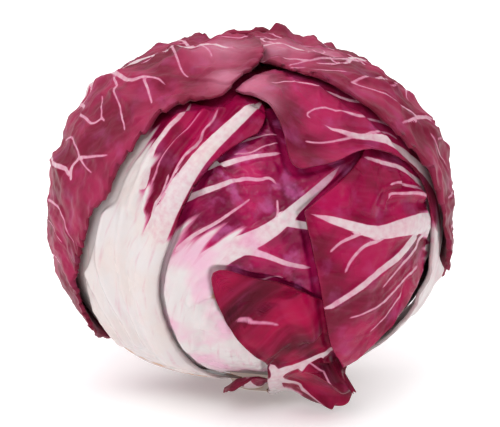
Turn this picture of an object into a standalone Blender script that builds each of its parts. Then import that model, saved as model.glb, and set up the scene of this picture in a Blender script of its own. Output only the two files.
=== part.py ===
"""A head of round red radicchio, standing on the cut face of its stem.

The head is a tight heart on a stub of stem, wrapped in twelve leaves.
Each leaf is a thin shell of its own that lies on the leaves under it.
Units are metres and degrees. +Z is up, and the origin is the middle of the stem's cut face.
Azimuths are counted from the front, which is -Y, towards +X; elevations from the head's centre.
"""

import math

import bmesh
import bpy
import numpy as np

# The whole head
CENTRE = (-0.0060, -0.0020, 0.0580)
HEAD_HALF_WIDTH_LEFT = 0.0645
HEAD_HALF_WIDTH_RIGHT = 0.0612
HEAD_HALF_DEPTH = 0.0610
HEAD_HALF_HEIGHT = 0.0545
SQUARENESS = 2.25
FLATTENING = 14

# The heart and the stem
WRAP_DEPTH = 0.0055
HEART_FOOT_HEIGHT = 0.0090
FRONT_FOOT_DROP = 0.0030
HEART_SEGMENTS = 30
HEART_RINGS = 18
HEART_FOLD_HEIGHT = 0.0006
STEM_RADIUS = 0.0125
STEM_TOP = 0.0160
STEM_SIDES = 24

# Every leaf
LEAF_THICKNESS = 0.0008
LAYER_STEP = 0.0018
LEAF_ROWS = 18
LEAF_COLUMNS = 14
PATH_SAMPLES = 61
PATH_POINTS = 400
DRAPE_REACH = 0.20
COVER_EDGE = 0.03
COVER_FADE = 0.22
GROUND_CLEARANCE = 0.0006

# Relief of a leaf where nothing covers it
RIB_HEIGHT = 0.0015
MIDRIB_SHARE = 1.5
BLISTER_HEIGHT = 0.0009
MARGIN_WAVE = 0.030
MARGIN_WAVES = 17
FLARE_START = 0.55

# name: midrib as (azimuth, elevation); left and right half widths in degrees, and how far the margins
# stand off in millimetres, from base to tip; share of the length taken off the corners of the tip
LEAVES = {
    "crown_leaf": dict(
        midrib=[(-150, -70), (-152, -36), (-150, 2), (-146, 38), (-128, 70), (30, 78)],
        left=[10, 30, 40, 40, 36, 26],
        right=[10, 30, 42, 42, 38, 30],
    ),
    "right_base_leaf": dict(
        midrib=[(58, -66), (58, -42), (60, -8), (70, 26), (90, 52)],
        left=[10, 20, 26, 26, 18],
        right=[10, 26, 32, 28, 18],
        left_lift=[1, 2, 1, 0, 0],
    ),
    "centre_leaf": dict(
        midrib=[(-16, -68), (-16, -38), (-8, -9), (11, 7), (30, 25), (46, 44)],
        left=[20, 24, 34, 44, 42, 24],
        right=[24, 26, 26, 26, 22, 14],
        tip=0.12,
    ),
    "front_left_leaf": dict(
        midrib=[(-34, -69), (-31, -38), (-31, -10), (-25, 9), (-14, 31), (2, 49)],
        left=[12, 38, 50, 46, 38, 24],
        right=[10, 6, 5, 4.5, 4.5, 13],
        right_lift=[0, 0, 0.5, 1, 1, 0.5],
        tip=0.08,
    ),
    "low_front_leaf": dict(
        midrib=[(2, -67), (0, -61), (-1, -55), (-1, -50)],
        left=[6, 8, 7, 4],
        right=[6, 7, 5, 2],
        left_lift=[0, 2, 3, 3],
        right_lift=[0, 2, 3, 3],
        tip_lift=4.0,
    ),
    "lower_leaf": dict(
        midrib=[(22, -68), (18, -52), (20, -37), (29, -29), (42, -24)],
        left=[3, 3, 3, 4, 4, 5, 5, 6, 7, 7, 8, 9, 10, 15, 29, 42, 34, 28, 24, 19, 15, 14, 14, 14, 14],
        right=[6, 9, 16, 16, 14, 14, 13, 11, 10],
        left_lift=[1, 1, 1, 1, 1, 1, 0.5, 0.5, 0.5],
        right_lift=[1, 6, 12, 13, 11, 8, 5, 4, 3],
        tip=0.30,
        flare=0.1,
    ),
    "right_leaf": dict(
        midrib=[(104, -66), (96, -38), (80, -8), (56, 3), (34, 7), (15, 12)],
        left=[8, 8, 8, 7, 7, 7, 7, 9, 24, 39, 47, 48, 46],
        right=[8, 12, 24, 30, 30, 26],
        left_lift=[0, 0, 0, 0, 1, 2, 2, 3],
        tip=0.20,
        tip_power=1.1,
        tip_lift=1.5,
    ),
    "upper_right_leaf": dict(
        midrib=[(90, -66), (80, -34), (67, 0), (54, 22), (33, 32), (13, 43), (-7, 51)],
        left=[8, 8, 8, 8, 8, 8, 8, 8, 8, 8, 7, 6, 4, 3, 3, 3, 3, 3, 5, 12, 16, 9, 3, 2, 1],
        right=[8, 10, 12, 20, 27, 28, 22],
        left_lift=[0, 0, 0, 0.3, 1.5, 3, 1.5],
        tip=0.06,
        tip_lift=2.0,
    ),
    "back_right_leaf": dict(
        midrib=[(152, -68), (148, -36), (148, 2), (152, 36), (172, 66)],
        left=[10, 28, 38, 34, 20],
        right=[10, 30, 40, 36, 22],
        left_lift=[0, 1, 2, 2, 2],
    ),
    "back_leaf": dict(
        midrib=[(-176, -69), (-178, -38), (178, -4), (178, 28), (-176, 56)],
        left=[10, 26, 34, 32, 20],
        right=[10, 26, 36, 32, 20],
        left_lift=[0, 1, 2, 2, 2],
        right_lift=[0, 1, 2, 3, 3],
        tip_lift=2.0,
    ),
    "hood_right_leaf": dict(
        midrib=[(132, -67), (120, -36), (104, 0), (92, 30), (76, 56), (30, 76), (-45, 68)],
        left=[8, 9, 12, 22, 34, 36, 36, 33, 22, 13, 8],
        right=[10, 28, 40, 42, 36, 28, 12],
        left_lift=[0, 0.5, 0.5, 1, 1, 1, 1],
        right_lift=[0, 1, 1, 1, 1, 0.5, 0.5],
        tip_lift=0.5,
    ),
    "hood_left_leaf": dict(
        midrib=[(-128, -69), (-110, -34), (-100, 4), (-86, 34), (-62, 58), (10, 66)],
        left=[10, 30, 40, 40, 30, 14],
        right=[8, 9, 12, 18, 34, 45, 47, 47, 47, 48, 49, 49, 48, 45, 45, 40, 35, 28, 24, 23, 10],
        right_lift=[0.5, 1.5, 1.5, 1.5, 2, 2.5],
        left_lift=[0, 1, 2, 2, 1, 0],
        tip=0.04,
        tip_lift=0.0,
    ),
}
TIP_ROUNDING = 0.15
NO_LIFT = (0, 0)
BASE_COLOUR = {"leaf": (0.42, 0.02, 0.09), "stem": (0.80, 0.72, 0.60)}
LEAF_ROUGHNESS = 0.38


def direction(azimuth, elevation):
    """The unit vector at an azimuth and an elevation in degrees."""
    a, e = math.radians(azimuth), math.radians(elevation)
    return np.array([math.sin(a) * math.cos(e), -math.cos(a) * math.cos(e), math.sin(e)])


def unit(vectors):
    return vectors / np.linalg.norm(vectors, axis=-1, keepdims=True)


def ease(x, low, high):
    """0 below low, 1 above high, and smooth between them."""
    t = np.clip((x - low) / (high - low), 0, 1)
    return t * t * (3 - 2 * t)


def spline(values, t):
    """A Catmull-Rom curve through equally spaced values, read at t from 0 to 1."""
    p = np.asarray(values, float)
    p = np.concatenate([[2 * p[0] - p[1]], p, [2 * p[-1] - p[-2]]])
    x = np.clip(t, 0, 1) * (len(p) - 3)
    i = np.minimum(x.astype(int), len(p) - 4)
    f = (x - i)[:, None] if p.ndim > 1 else x - i
    a, b, c, d = p[i], p[i + 1], p[i + 2], p[i + 3]
    cubic = 3 * b - a - 3 * c + d
    return 0.5 * (2 * b + (c - a) * f + (2 * a - 5 * b + 4 * c - d) * f**2 + cubic * f**3)


def read_rows(rows, grid, t):
    """A table of vectors, one for each value of grid, read at t."""
    return np.stack([np.interp(t, grid, rows[:, k]) for k in range(rows.shape[1])], -1)


class Leaf:
    """A leaf on the unit sphere round the head's centre: v runs along the midrib, w across it."""

    def __init__(
        self,
        midrib,
        left,
        right,
        tip=TIP_ROUNDING,
        left_lift=NO_LIFT,
        right_lift=NO_LIFT,
        tip_lift=0,
        tip_power=2,
        flare=FLARE_START,
    ):
        ends = [direction(*place) for place in midrib]
        path = unit(spline(ends, np.linspace(0, 1, PATH_POINTS)))
        run = np.concatenate([[0], np.cumsum(np.linalg.norm(np.diff(path, axis=0), axis=1))])
        self.length = run[-1]
        self.v = np.linspace(0, 1, PATH_SAMPLES)
        self.middle = unit(read_rows(path, run, self.v * self.length))
        along = np.gradient(self.middle, axis=0)
        along -= (along * self.middle).sum(1, keepdims=True) * self.middle
        self.along = unit(along)
        self.across = np.cross(self.along, self.middle)
        self.left = np.radians(spline(left, self.v))
        self.right = np.radians(spline(right, self.v))
        self.tip = tip
        self.tip_power = tip_power
        self.left_lift = spline(left_lift, self.v) / 1000
        self.right_lift = spline(right_lift, self.v) / 1000
        self.tip_lift = tip_lift / 1000
        self.flare = flare

    def half_width(self, v, side):
        return np.where(side < 0, np.interp(v, self.v, self.left), np.interp(v, self.v, self.right))

    def end(self, w):
        """How far along the leaf reaches, as v, on each line w."""
        return 1 - self.tip * np.abs(w) ** self.tip_power

    def directions(self, u, w, stretch=1.0):
        """Directions of the grid places u (base to tip) and w (left margin -1, right margin 1)."""
        v = u * self.end(w)
        angle = w * self.half_width(v, w) * stretch
        middle = unit(read_rows(self.middle, self.v, v))
        across = unit(read_rows(self.across, self.v, v))
        return unit(np.cos(angle)[:, None] * middle + np.sin(angle)[:, None] * across)

    def find(self, d):
        """Where directions d lie in this leaf: v, w, and the angle by which they are outside its outline."""
        near = np.argmax(d @ self.middle.T, axis=1)
        ahead = d @ self.along.T
        row = np.arange(len(d))
        here = ahead[row, near]
        neighbour = np.clip(near + np.where(here > 0, 1, -1), 0, PATH_SAMPLES - 1)
        there = ahead[row, neighbour]
        between = (neighbour != near) & (here * there < 0)
        share = np.where(between, here / np.where(between, here - there, 1), 0)
        v = (near + (neighbour - near) * share) / (PATH_SAMPLES - 1)
        v = np.where(neighbour == near, v + here / self.length, v)
        on_leaf = np.clip(v, 0, 1)
        middle = read_rows(self.middle, self.v, on_leaf)
        across = read_rows(self.across, self.v, on_leaf)
        angle = np.arctan2((d * across).sum(1), (d * middle).sum(1))
        half = self.half_width(on_leaf, angle)
        w = angle / half
        past_tip = (v - self.end(np.clip(w, -1, 1))) * self.length
        outside = np.maximum(np.maximum(np.abs(angle) - half, past_tip), -v * self.length)
        return v, w, outside

    def lift(self, v, w):
        """How far the margins and the tip stand off what is under them."""
        margin = np.where(w < 0, np.interp(v, self.v, self.left_lift), np.interp(v, self.v, self.right_lift))
        wave = 0.8 + 0.2 * np.sin(MARGIN_WAVES * v + 5 * self.length)
        return margin * wave * ease(np.abs(w), self.flare, 1) + self.tip_lift * ease(v, 0.78, 1)


def head_radius(d, inset, foot_height):
    """A slightly square ellipsoid with a flattened foot, lower at the front, as a distance from the centre."""
    width = np.where(d[:, 0] < 0, HEAD_HALF_WIDTH_LEFT, HEAD_HALF_WIDTH_RIGHT)
    halves = np.stack([width, 0 * width + HEAD_HALF_DEPTH, 0 * width + HEAD_HALF_HEIGHT], -1) - inset
    body = ((np.abs(d) / halves) ** SQUARENESS).sum(-1) ** (-1 / SQUARENESS)
    drop = FRONT_FOOT_DROP * ease(-d[:, 1], 0, 0.3)
    foot = (CENTRE[2] - foot_height + drop) / np.maximum(-d[:, 2], 0.05)
    return (body**-FLATTENING + foot**-FLATTENING) ** (-1 / FLATTENING)


def lay(leaves, number, d):
    """Radius of leaf number in each direction, with its v, w and how far it is covered.

    Each leaf in turn rises by one step over all that lies under it, and beyond its own outline the
    step fades out. A margin stands off only where no later leaf presses on it.
    """
    places = [leaf.find(d) for leaf in leaves]
    covers = np.array([1 - ease(place[2], COVER_EDGE, COVER_FADE) for place in places])
    under = head_radius(d, WRAP_DEPTH, HEART_FOOT_HEIGHT)
    for k, (v, w, outside) in enumerate(places[: number + 1]):
        covered = covers[k + 1 :].max(axis=0, initial=0)
        radius = under + LAYER_STEP + (1 - covered) * leaves[k].lift(v, w)
        radius = np.minimum(radius, (CENTRE[2] - GROUND_CLEARANCE) / np.maximum(-d[:, 2], 0.05))
        if k < number:
            under += (radius - under) * np.exp(-((np.maximum(outside, 0) / DRAPE_REACH) ** 2))
    return radius, v, w, covered


def relief(v, w, covered, column):
    """Ribs on every second column, and low blisters between them, where the leaf is bare."""
    rib = RIB_HEIGHT * (1 - 0.7 * v) * (column % 2 == 0) * (np.abs(w) < 0.9)
    rib = rib * np.where(column == LEAF_COLUMNS // 2, MIDRIB_SHARE, 1)
    blister = BLISTER_HEIGHT * (0.5 + 0.5 * np.sin(9 * v + 4 * w) * np.cos(7 * w - 5 * v))
    return (1 - covered) * (rib + blister)


def material(name, colour, roughness):
    made = bpy.data.materials.new(name)
    made.use_nodes = True
    shader = made.node_tree.nodes["Principled BSDF"]
    shader.inputs["Base Color"].default_value = (*colour, 1)
    shader.inputs["Roughness"].default_value = roughness
    shader.inputs["Metallic"].default_value = 0
    return made


def leaf_object(leaves, number, name):
    """One leaf: a grid bent to the head, split into triangles and given its thickness inwards."""
    mesh = bmesh.new()
    bmesh.ops.create_grid(mesh, x_segments=LEAF_COLUMNS, y_segments=LEAF_ROWS, size=1)
    bmesh.ops.triangulate(mesh, faces=mesh.faces)
    flat = np.array([vertex.co[:2] for vertex in mesh.verts])
    w, u = flat[:, 0], (flat[:, 1] + 1) / 2
    column = np.rint((w + 1) / 2 * LEAF_COLUMNS)
    row = np.rint(u * LEAF_ROWS)
    at_margin = np.abs(w) > 0.99
    stretch = np.where(at_margin, 1 + MARGIN_WAVE * np.cos(math.pi * row), 1)
    d = leaves[number].directions(u, w, stretch)
    radius, v, w, covered = lay(leaves, number, d)
    points = d * (radius + relief(v, w, covered, column))[:, None] + CENTRE
    for vertex, point in zip(mesh.verts, points):
        vertex.co = point
    data = bpy.data.meshes.new(name)
    mesh.to_mesh(data)
    mesh.free()
    made = bpy.data.objects.new(name, data)
    data.shade_smooth()
    skin = made.modifiers.new("Thickness", "SOLIDIFY")
    skin.thickness = LEAF_THICKNESS
    skin.offset = -1
    return made


def heart_object(name):
    """The tight inner leaves as one lobed solid, joined to the stub of stem that it stands on."""
    mesh = bmesh.new()
    bmesh.ops.create_uvsphere(mesh, u_segments=HEART_SEGMENTS, v_segments=HEART_RINGS, radius=1)
    d = unit(np.array([vertex.co for vertex in mesh.verts]))
    turn = np.arctan2(d[:, 0], -d[:, 1])
    folds = HEART_FOLD_HEIGHT * np.sin(5 * turn + 4 * d[:, 2]) * (1 - d[:, 2] ** 2)
    radius = head_radius(d, WRAP_DEPTH, HEART_FOOT_HEIGHT) - HEART_FOLD_HEIGHT + folds
    points = d * radius[:, None] + CENTRE
    for vertex, point in zip(mesh.verts, points):
        vertex.co = point
    data = bpy.data.meshes.new(name)
    mesh.to_mesh(data)
    mesh.free()
    data.shade_smooth()
    return bpy.data.objects.new(name, data)


def stem_shape(name):
    """The stub of stem, from its cut face up into the heart."""
    mesh = bmesh.new()
    bmesh.ops.create_cone(
        mesh,
        cap_ends=True,
        segments=STEM_SIDES,
        radius1=STEM_RADIUS,
        radius2=STEM_RADIUS,
        depth=STEM_TOP,
    )
    bmesh.ops.translate(mesh, verts=mesh.verts, vec=(0, 0, STEM_TOP / 2))
    data = bpy.data.meshes.new(name)
    mesh.to_mesh(data)
    mesh.free()
    return bpy.data.objects.new(name, data)


def join_stem(heart, stem):
    union = heart.modifiers.new("Stem", "BOOLEAN")
    union.operation = "UNION"
    union.object = stem
    stem.hide_render = True
    stem.display_type = "WIRE"


def build():
    for old in list(bpy.data.objects):
        bpy.data.objects.remove(old)
    head = bpy.data.collections.new("radicchio_head")
    helpers = bpy.data.collections.new("helpers")
    bpy.context.scene.collection.children.link(head)
    bpy.context.scene.collection.children.link(helpers)

    heart = heart_object("heart_and_stem")
    heart.data.materials.append(material("pale stem", BASE_COLOUR["stem"], LEAF_ROUGHNESS))
    head.objects.link(heart)
    stem = stem_shape("stem_shape")
    helpers.objects.link(stem)
    join_stem(heart, stem)

    crimson = material("crimson leaf", BASE_COLOUR["leaf"], LEAF_ROUGHNESS)
    leaves = [Leaf(**sizes) for sizes in LEAVES.values()]
    for number, name in enumerate(LEAVES):
        leaf = leaf_object(leaves, number, name)
        leaf.data.materials.append(crimson)
        head.objects.link(leaf)


build()
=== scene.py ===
# %% [markdown]
# # A head of round red radicchio
#
# The head is a tight heart wrapped in a dozen leaves. Each leaf is one thin curved sheet, so each is
# made here as a grid of points whose places come from formulas. The loaded frame holds the plain solid
# version of the same head: every piece below takes the place of one of its nodes.

# %% The frame
import math

import bpy
import numpy as np
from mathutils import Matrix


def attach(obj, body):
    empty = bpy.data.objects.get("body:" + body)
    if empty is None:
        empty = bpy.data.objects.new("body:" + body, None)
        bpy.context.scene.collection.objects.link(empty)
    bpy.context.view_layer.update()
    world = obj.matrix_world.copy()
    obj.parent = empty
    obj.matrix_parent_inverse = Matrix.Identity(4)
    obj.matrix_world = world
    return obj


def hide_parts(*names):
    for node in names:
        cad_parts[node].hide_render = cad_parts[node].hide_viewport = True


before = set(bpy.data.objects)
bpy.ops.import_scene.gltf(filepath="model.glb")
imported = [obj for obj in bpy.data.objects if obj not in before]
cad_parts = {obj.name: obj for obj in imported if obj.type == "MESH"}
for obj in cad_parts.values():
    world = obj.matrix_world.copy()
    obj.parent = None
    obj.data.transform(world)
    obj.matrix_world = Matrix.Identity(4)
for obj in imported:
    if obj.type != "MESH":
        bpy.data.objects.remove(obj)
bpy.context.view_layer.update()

# %% [markdown]
# ## Camera
#
# The view is from a little above, with a long lens, as a product shot is taken. A camera could be
# placed by eye in the viewport. Here its place is worked out from one angle and one distance, which
# are easier to check and to change: it stands in front of the head (towards -Y) and aims just under
# the head's centre.

# %% The camera
HEAD_CENTRE = np.array([-0.006, -0.002, 0.058])
VIEW_ELEVATION = 14.0
VIEW_DISTANCE = 0.75
AIM_DROP = 0.0021
LENS_MM = 170.7
SENSOR_MM = 36

camera_data = bpy.data.cameras.new("camera")
camera_data.lens = LENS_MM
camera_data.sensor_width = SENSOR_MM
camera = bpy.data.objects.new("camera", camera_data)
tilt = math.radians(VIEW_ELEVATION)
back = np.array([0, -math.cos(tilt), math.sin(tilt)]) * VIEW_DISTANCE
camera.location = HEAD_CENTRE + back - np.array([0, 0, AIM_DROP])
camera.rotation_euler = (math.pi / 2 - tilt, 0, 0)
bpy.context.scene.collection.objects.link(camera)
bpy.context.scene.camera = camera
print("camera at, metres:", [round(value, 3) for value in camera.location])

# %% [markdown]
# ## Working on a sphere
#
# Wrapped leaves lie on something nearly round, so a place on a leaf is given as a direction from the
# head's centre, and its height as a distance along that direction. On a head this size one degree
# of direction is almost exactly one millimetre of leaf, which makes the tables below easy to read.

# %% Directions, easing and smooth curves


def direction(azimuth, elevation):
    """The unit vector (sin a cos e, -cos a cos e, sin e), with both angles in degrees."""
    a, e = math.radians(azimuth), math.radians(elevation)
    return np.array([math.sin(a) * math.cos(e), -math.cos(a) * math.cos(e), math.sin(e)])


def unit(vectors):
    """Each vector divided by its own length."""
    return vectors / np.linalg.norm(vectors, axis=-1, keepdims=True)


def ease(x, low, high):
    """0 below low, 1 above high and t*t*(3 - 2t) between them."""
    t = np.clip((x - low) / (high - low), 0, 1)
    return t * t * (3 - 2 * t)


def spline(values, t):
    """A Catmull-Rom curve through equally spaced values, read at t from 0 to 1.

    Between two values it is the cubic whose slope at each is half the step from the value before it to
    the value after it.
    """
    p = np.asarray(values, float)
    p = np.concatenate([[2 * p[0] - p[1]], p, [2 * p[-1] - p[-2]]])
    x = np.clip(t, 0, 1) * (len(p) - 3)
    i = np.minimum(x.astype(int), len(p) - 4)
    f = (x - i)[:, None] if p.ndim > 1 else x - i
    a, b, c, d = p[i], p[i + 1], p[i + 2], p[i + 3]
    cubic = 3 * b - a - 3 * c + d
    return 0.5 * (2 * b + (c - a) * f + (2 * a - 5 * b + 4 * c - d) * f**2 + cubic * f**3)


def read_rows(rows, grid, t):
    """A table of vectors, one for each value of grid, read at t in straight steps between them."""
    return np.stack([np.interp(t, grid, rows[:, k]) for k in range(rows.shape[1])], -1)


# The head's radius is about the height of its centre.
print("one degree of direction is", round(math.radians(1) * 1000 * HEAD_CENTRE[2], 2), "mm of leaf")

# %% [markdown]
# ## The leaves
#
# A wrapped leaf could be sculpted by hand or dropped on the heart as simulated cloth. Neither keeps
# twelve leaves apart for certain, or lets a rib be put exactly where it belongs. So each leaf is a
# small table of facts, and rules turn the facts into a surface.
#
# midrib is a few directions, as azimuth and elevation in degrees, from the base under the head to
# the tip. left and right are half widths in degrees, equally spaced along it, seen from outside with
# the tip up. A rib is its half width in millimetres at both ends and the points it passes: how far
# along (0 at the base, 1 at the tip) and how many degrees across. A fold is a broad soft ridge with
# one half width and a height. dry, pale and calm are spots: place along, place across and radius in
# millimetres. cells counts the mesh's rows and columns. The other words are explained beside the
# values of a plain leaf, which stand wherever a leaf's own table is silent.

# %% A plain leaf and an empty book
PLAIN_LEAF = dict(
    # How many millimetres each margin stands off, from base to tip, and the tip by itself.
    left_lift=(0, 0),
    right_lift=(0, 0),
    tip_lift=0,
    # How far out across the leaf its margins begin to lift.
    flare=0.55,
    # The share of the length that the corners of the tip lose, and how squarely they lose it.
    tip=0.15,
    tip_power=2,
    # Rows of cells are even at 1, and crowd towards the tip below 1.
    spacing=0.8,
    # The white base: for places across, in degrees, how far along it ends.
    white=[(-40, 0.18), (-8, 0.26), (0, 0.42), (8, 0.26), (40, 0.18)],
    # How pink its white parts are, and the name of its finish.
    blush=0.3,
    finish="bared",
    # A straight midrib.
    ribs=[(3.0, 0.5, [(0.0, 0), (0.3, 0), (0.6, 0), (0.95, 0)])],
    # How many ribs come by rule: in pairs, or on the left alone where the number is negative.
    side_ribs=0,
    folds=[],
    # Height and size in millimetres of the puckers between veins, then depth and pitch of the teeth.
    pucker=(0.5, 11),
    teeth=(0.4, 9),
    # Heights in millimetres: sharp creases, the blade's swell between ribs, fine ripples, rolled rim.
    crease=0.15,
    pillow=0.35,
    fine=0.09,
    roll=0.2,
    # Spots of dried skin, of skin painted paler (part fading, part painted highlight of the top light), and
    # of skin that lies flat.
    dry=[],
    pale=[],
    calm=[],
)
LEAVES = {}


def note_leaf(name, **facts):
    """Writes a leaf in the book: its own facts, and a plain leaf's for the rest."""
    LEAVES[name] = {**PLAIN_LEAF, **facts}
    print(name, "has", len(LEAVES[name]["ribs"]), "drawn ribs and", len(LEAVES[name]["folds"]), "folds")


# %% [markdown]
# ### Crown leaf
#
# This is the innermost leaf that can be seen, a dark glimpse in the pocket at the top. A small
# scrap in the gap would fill it as well, but a whole broad oval that wraps the far side of the heart
# holds up from every side. Most of its ribs come by rule.

# %% Crown leaf
note_leaf(
    "crown_leaf",
    midrib=[(-150, -70), (-152, -36), (-150, 2), (-146, 38), (-128, 70), (30, 78)],
    left=[10, 30, 40, 40, 36, 26],
    right=[10, 30, 42, 42, 38, 30],
    spacing=1.0,
    cells=(132, 96),
    side_ribs=7,
)

# %% [markdown]
# ### Right base leaf
#
# Only the pale foot of this leaf shows, low on the right under the next ones. It could be one
# plain white sheet, but a white base with its end drawn place by place lets the cream run up in the
# middle and stop short at the sides, as it does where a leaf leaves its stem.

# %% Right base leaf
note_leaf(
    "right_base_leaf",
    midrib=[(58, -66), (58, -42), (60, -8), (70, 26), (90, 52)],
    left=[10, 20, 26, 26, 18],
    right=[10, 26, 32, 28, 18],
    left_lift=[1, 2, 1, 0, 0],
    spacing=1.0,
    cells=(111, 84),
    white=[(-30, 0.30), (-8, 0.42), (0, 0.55), (10, 0.45), (30, 0.40)],
    side_ribs=5,
)

# %% [markdown]
# ### Centre leaf
#
# The glossy leaf in the middle is the face of the head. Its midrib is thick and white, and side
# ribs leave it towards both margins. Ribs made by rule would look like any leaf's, so these are
# drawn one by one, and the folds beside them make the blade look pressed into place.

# %% Centre leaf
note_leaf(
    "centre_leaf",
    midrib=[(-16, -68), (-16, -38), (-8, -9), (11, 7), (30, 25), (46, 44)],
    left=[20, 24, 34, 44, 42, 24],
    right=[24, 26, 26, 26, 22, 14],
    tip=0.12,
    blush=0.8,
    fine=0.14,
    pillow=0.7,
    cells=(230, 190),
    white=[
        (-32, 0.45), (-20, 0.47), (-15, 0.49), (-10, 0.52), (-6, 0.54),
        (-2, 0.49), (4, 0.43), (14, 0.46), (24, 0.40),
    ],
    dry=[
        (0.11, -9, 2.2), (0.10, -5, 1.8), (0.09, -1, 2.2),
        (0.42, 0, 1.5), (0.43, 3, 1.6), (0.45, 6, 1.4),
    ],
    ribs=[
        (5.0, 0.6, [(0.28, -9), (0.39, -9), (0.49, -6), (0.56, -4), (0.65, -3), (0.73, -2), (0.83, 0)]),
        (
            1.3, 0.5,
            [(0.55, -30), (0.57, -29), (0.61, -28), (0.66, -25),
             (0.70, -22), (0.73, -19), (0.77, -15)],
        ),
        (0.4, 0.3, [(0.68, -26), (0.71, -23), (0.75, -21), (0.79, -18)]),
        (
            1.0, 0.35,
            [(0.50, -25), (0.54, -23), (0.57, -22), (0.64, -20),
             (0.67, -16), (0.69, -14), (0.69, -10)],
        ),
        (0.7, 0.3, [(0.46, -16), (0.49, -15), (0.52, -14), (0.56, -14), (0.59, -14), (0.63, -14)]),
        (0.6, 0.3, [(0.62, -4), (0.64, -5), (0.65, -6), (0.67, -9)]),
        (1.7, 0.5, [(0.44, -8), (0.49, -6), (0.53, -3), (0.56, 1), (0.59, 7), (0.63, 15)]),
        (1.2, 0.8, [(0.65, -1), (0.68, 5), (0.70, 9), (0.72, 14)]),
        (0.9, 0.3, [(0.43, -6), (0.46, -2), (0.475, 1), (0.51, 8), (0.535, 13), (0.556, 17)]),
        (0.4, 0.3, [(0.515, 7), (0.53, 8), (0.56, 9), (0.57, 11)]),
        (0.8, 0.3, [(0.56, -33), (0.66, -31), (0.76, -25), (0.82, -19)]),
    ],
    folds=[
        (4.0, 1.2, [(0.12, -6), (0.24, -7), (0.31, -8), (0.37, -11), (0.43, -16), (0.49, -21)]),
        (1.3, 1.8, [(0.38, -7), (0.40, -5), (0.425, -1), (0.445, 3), (0.46, 6)]),
        (1.6, 0.8, [(0.32, -3), (0.36, -1), (0.40, 1), (0.43, 4)]),
        (3.4, 1.1, [(0.54, -27), (0.64, -21), (0.72, -13)]),
        (3.0, 0.9, [(0.56, -18), (0.63, -15), (0.69, -8)]),
        (3.0, 0.9, [(0.62, -28), (0.70, -22), (0.78, -16)]),
        (2.2, 0.9, [(0.49, 3), (0.54, 8), (0.57, 14)]),
    ],
    pucker=(0.7, 8.5),
    finish="glossy",
)

# %% [markdown]
# ### Front left leaf
#
# The broad white foot of this leaf fans out into pleats, which are narrow folds that start close
# together at the stem. A displacement image could give them. As drawn folds they follow the
# leaf's own places, so they stay with it when its outline changes.

# %% Front left leaf
note_leaf(
    "front_left_leaf",
    midrib=[(-34, -69), (-31, -38), (-31, -10), (-25, 9), (-14, 31), (2, 49)],
    left=[12, 38, 50, 46, 38, 24],
    right=[10, 6, 5, 4.5, 4.5, 13],
    right_lift=[0, 0, 0, 0.2, 0.3, 0.2],
    tip=0.08,
    blush=0.1,
    teeth=(0.25, 6),
    roll=0,
    pillow=0.5,
    cells=(240, 190),
    white=[
        (-40, 0.84), (-20, 0.80), (-16, 0.78), (-11, 0.75),
        (-9, 0.71), (-6, 0.66), (-3, 0.62), (2, 0.62),
    ],
    ribs=[
        (
            3.9, 1.4,
            [(0.20, 1), (0.40, 1), (0.57, 1), (0.67, 1),
             (0.78, 1), (0.85, 2), (0.93, 3), (1.0, 3)],
        ),
        (
            1.4, 0.4,
            [(0.68, -9), (0.73, -11), (0.76, -12), (0.79, -12),
             (0.82, -12), (0.86, -12), (0.92, -15)],
        ),
        (1.3, 0.3, [(0.59, -2), (0.63, -2), (0.66, -3), (0.69, -3), (0.74, -5)]),
        (0.5, 0.3, [(0.64, -1), (0.70, -2), (0.77, -3), (0.82, -2), (0.85, -3), (0.88, -3), (0.93, -5)]),
        (0.25, 0.25, [(0.66, -6), (0.71, -7), (0.75, -8), (0.80, -8), (0.84, -7), (0.91, -8)]),
        (1.6, 0.5, [(0.60, -20), (0.72, -21), (0.84, -20)]),
    ],
    folds=[
        (3.6, 2.0, [(0.20, 1), (0.40, 1), (0.56, 1), (0.72, 1), (0.86, 2), (0.98, 3)]),
        (1.3, 1.8, [(0.62, -2), (0.70, -2), (0.78, -3), (0.85, -3), (0.93, -5)]),
        (1.1, 2.0, [(0.62, -5), (0.69, -7), (0.76, -8), (0.84, -7), (0.92, -8)]),
        (2.0, 1.8, [(0.60, -9), (0.72, -11), (0.80, -12), (0.92, -15)]),
        (1.7, 1.2, [(0.28, 0), (0.40, 0), (0.49, -3), (0.58, -4)]),
        (1.5, 1.2, [(0.27, -4), (0.38, -4), (0.47, -6), (0.54, -9), (0.64, -12)]),
        (1.5, 1.3, [(0.27, -8), (0.37, -8), (0.45, -12), (0.51, -15), (0.62, -17)]),
        (1.6, 1.2, [(0.26, -12), (0.36, -13), (0.43, -17), (0.48, -22), (0.57, -27)]),
        (1.8, 1.2, [(0.24, -16), (0.34, -19), (0.41, -25), (0.47, -31)]),
    ],
    dry=[
        (0.22, -16, 2.4), (0.20, -12, 1.8), (0.18, -8, 2.4),
        (0.15, -5, 1.8), (0.13, -1, 2.6), (0.11, 3, 2.4),
    ],
    pucker=(0.25, 14),
)

# %% [markdown]
# ### Low front leaf
#
# A small dull tip pokes out at the ground. It is the end of a short outer leaf, turned up, and
# four directions are enough for it.

# %% Low front leaf
note_leaf(
    "low_front_leaf",
    midrib=[(2, -67), (0, -61), (-1, -55), (-1, -50)],
    left=[6, 8, 7, 4],
    right=[6, 7, 5, 2],
    left_lift=[0, 2, 3, 3],
    right_lift=[0, 2, 3, 3],
    tip_lift=4.0,
    cells=(36, 40),
    white=[(-12, 0.25), (12, 0.25)],
    finish="weathered",
)
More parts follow.
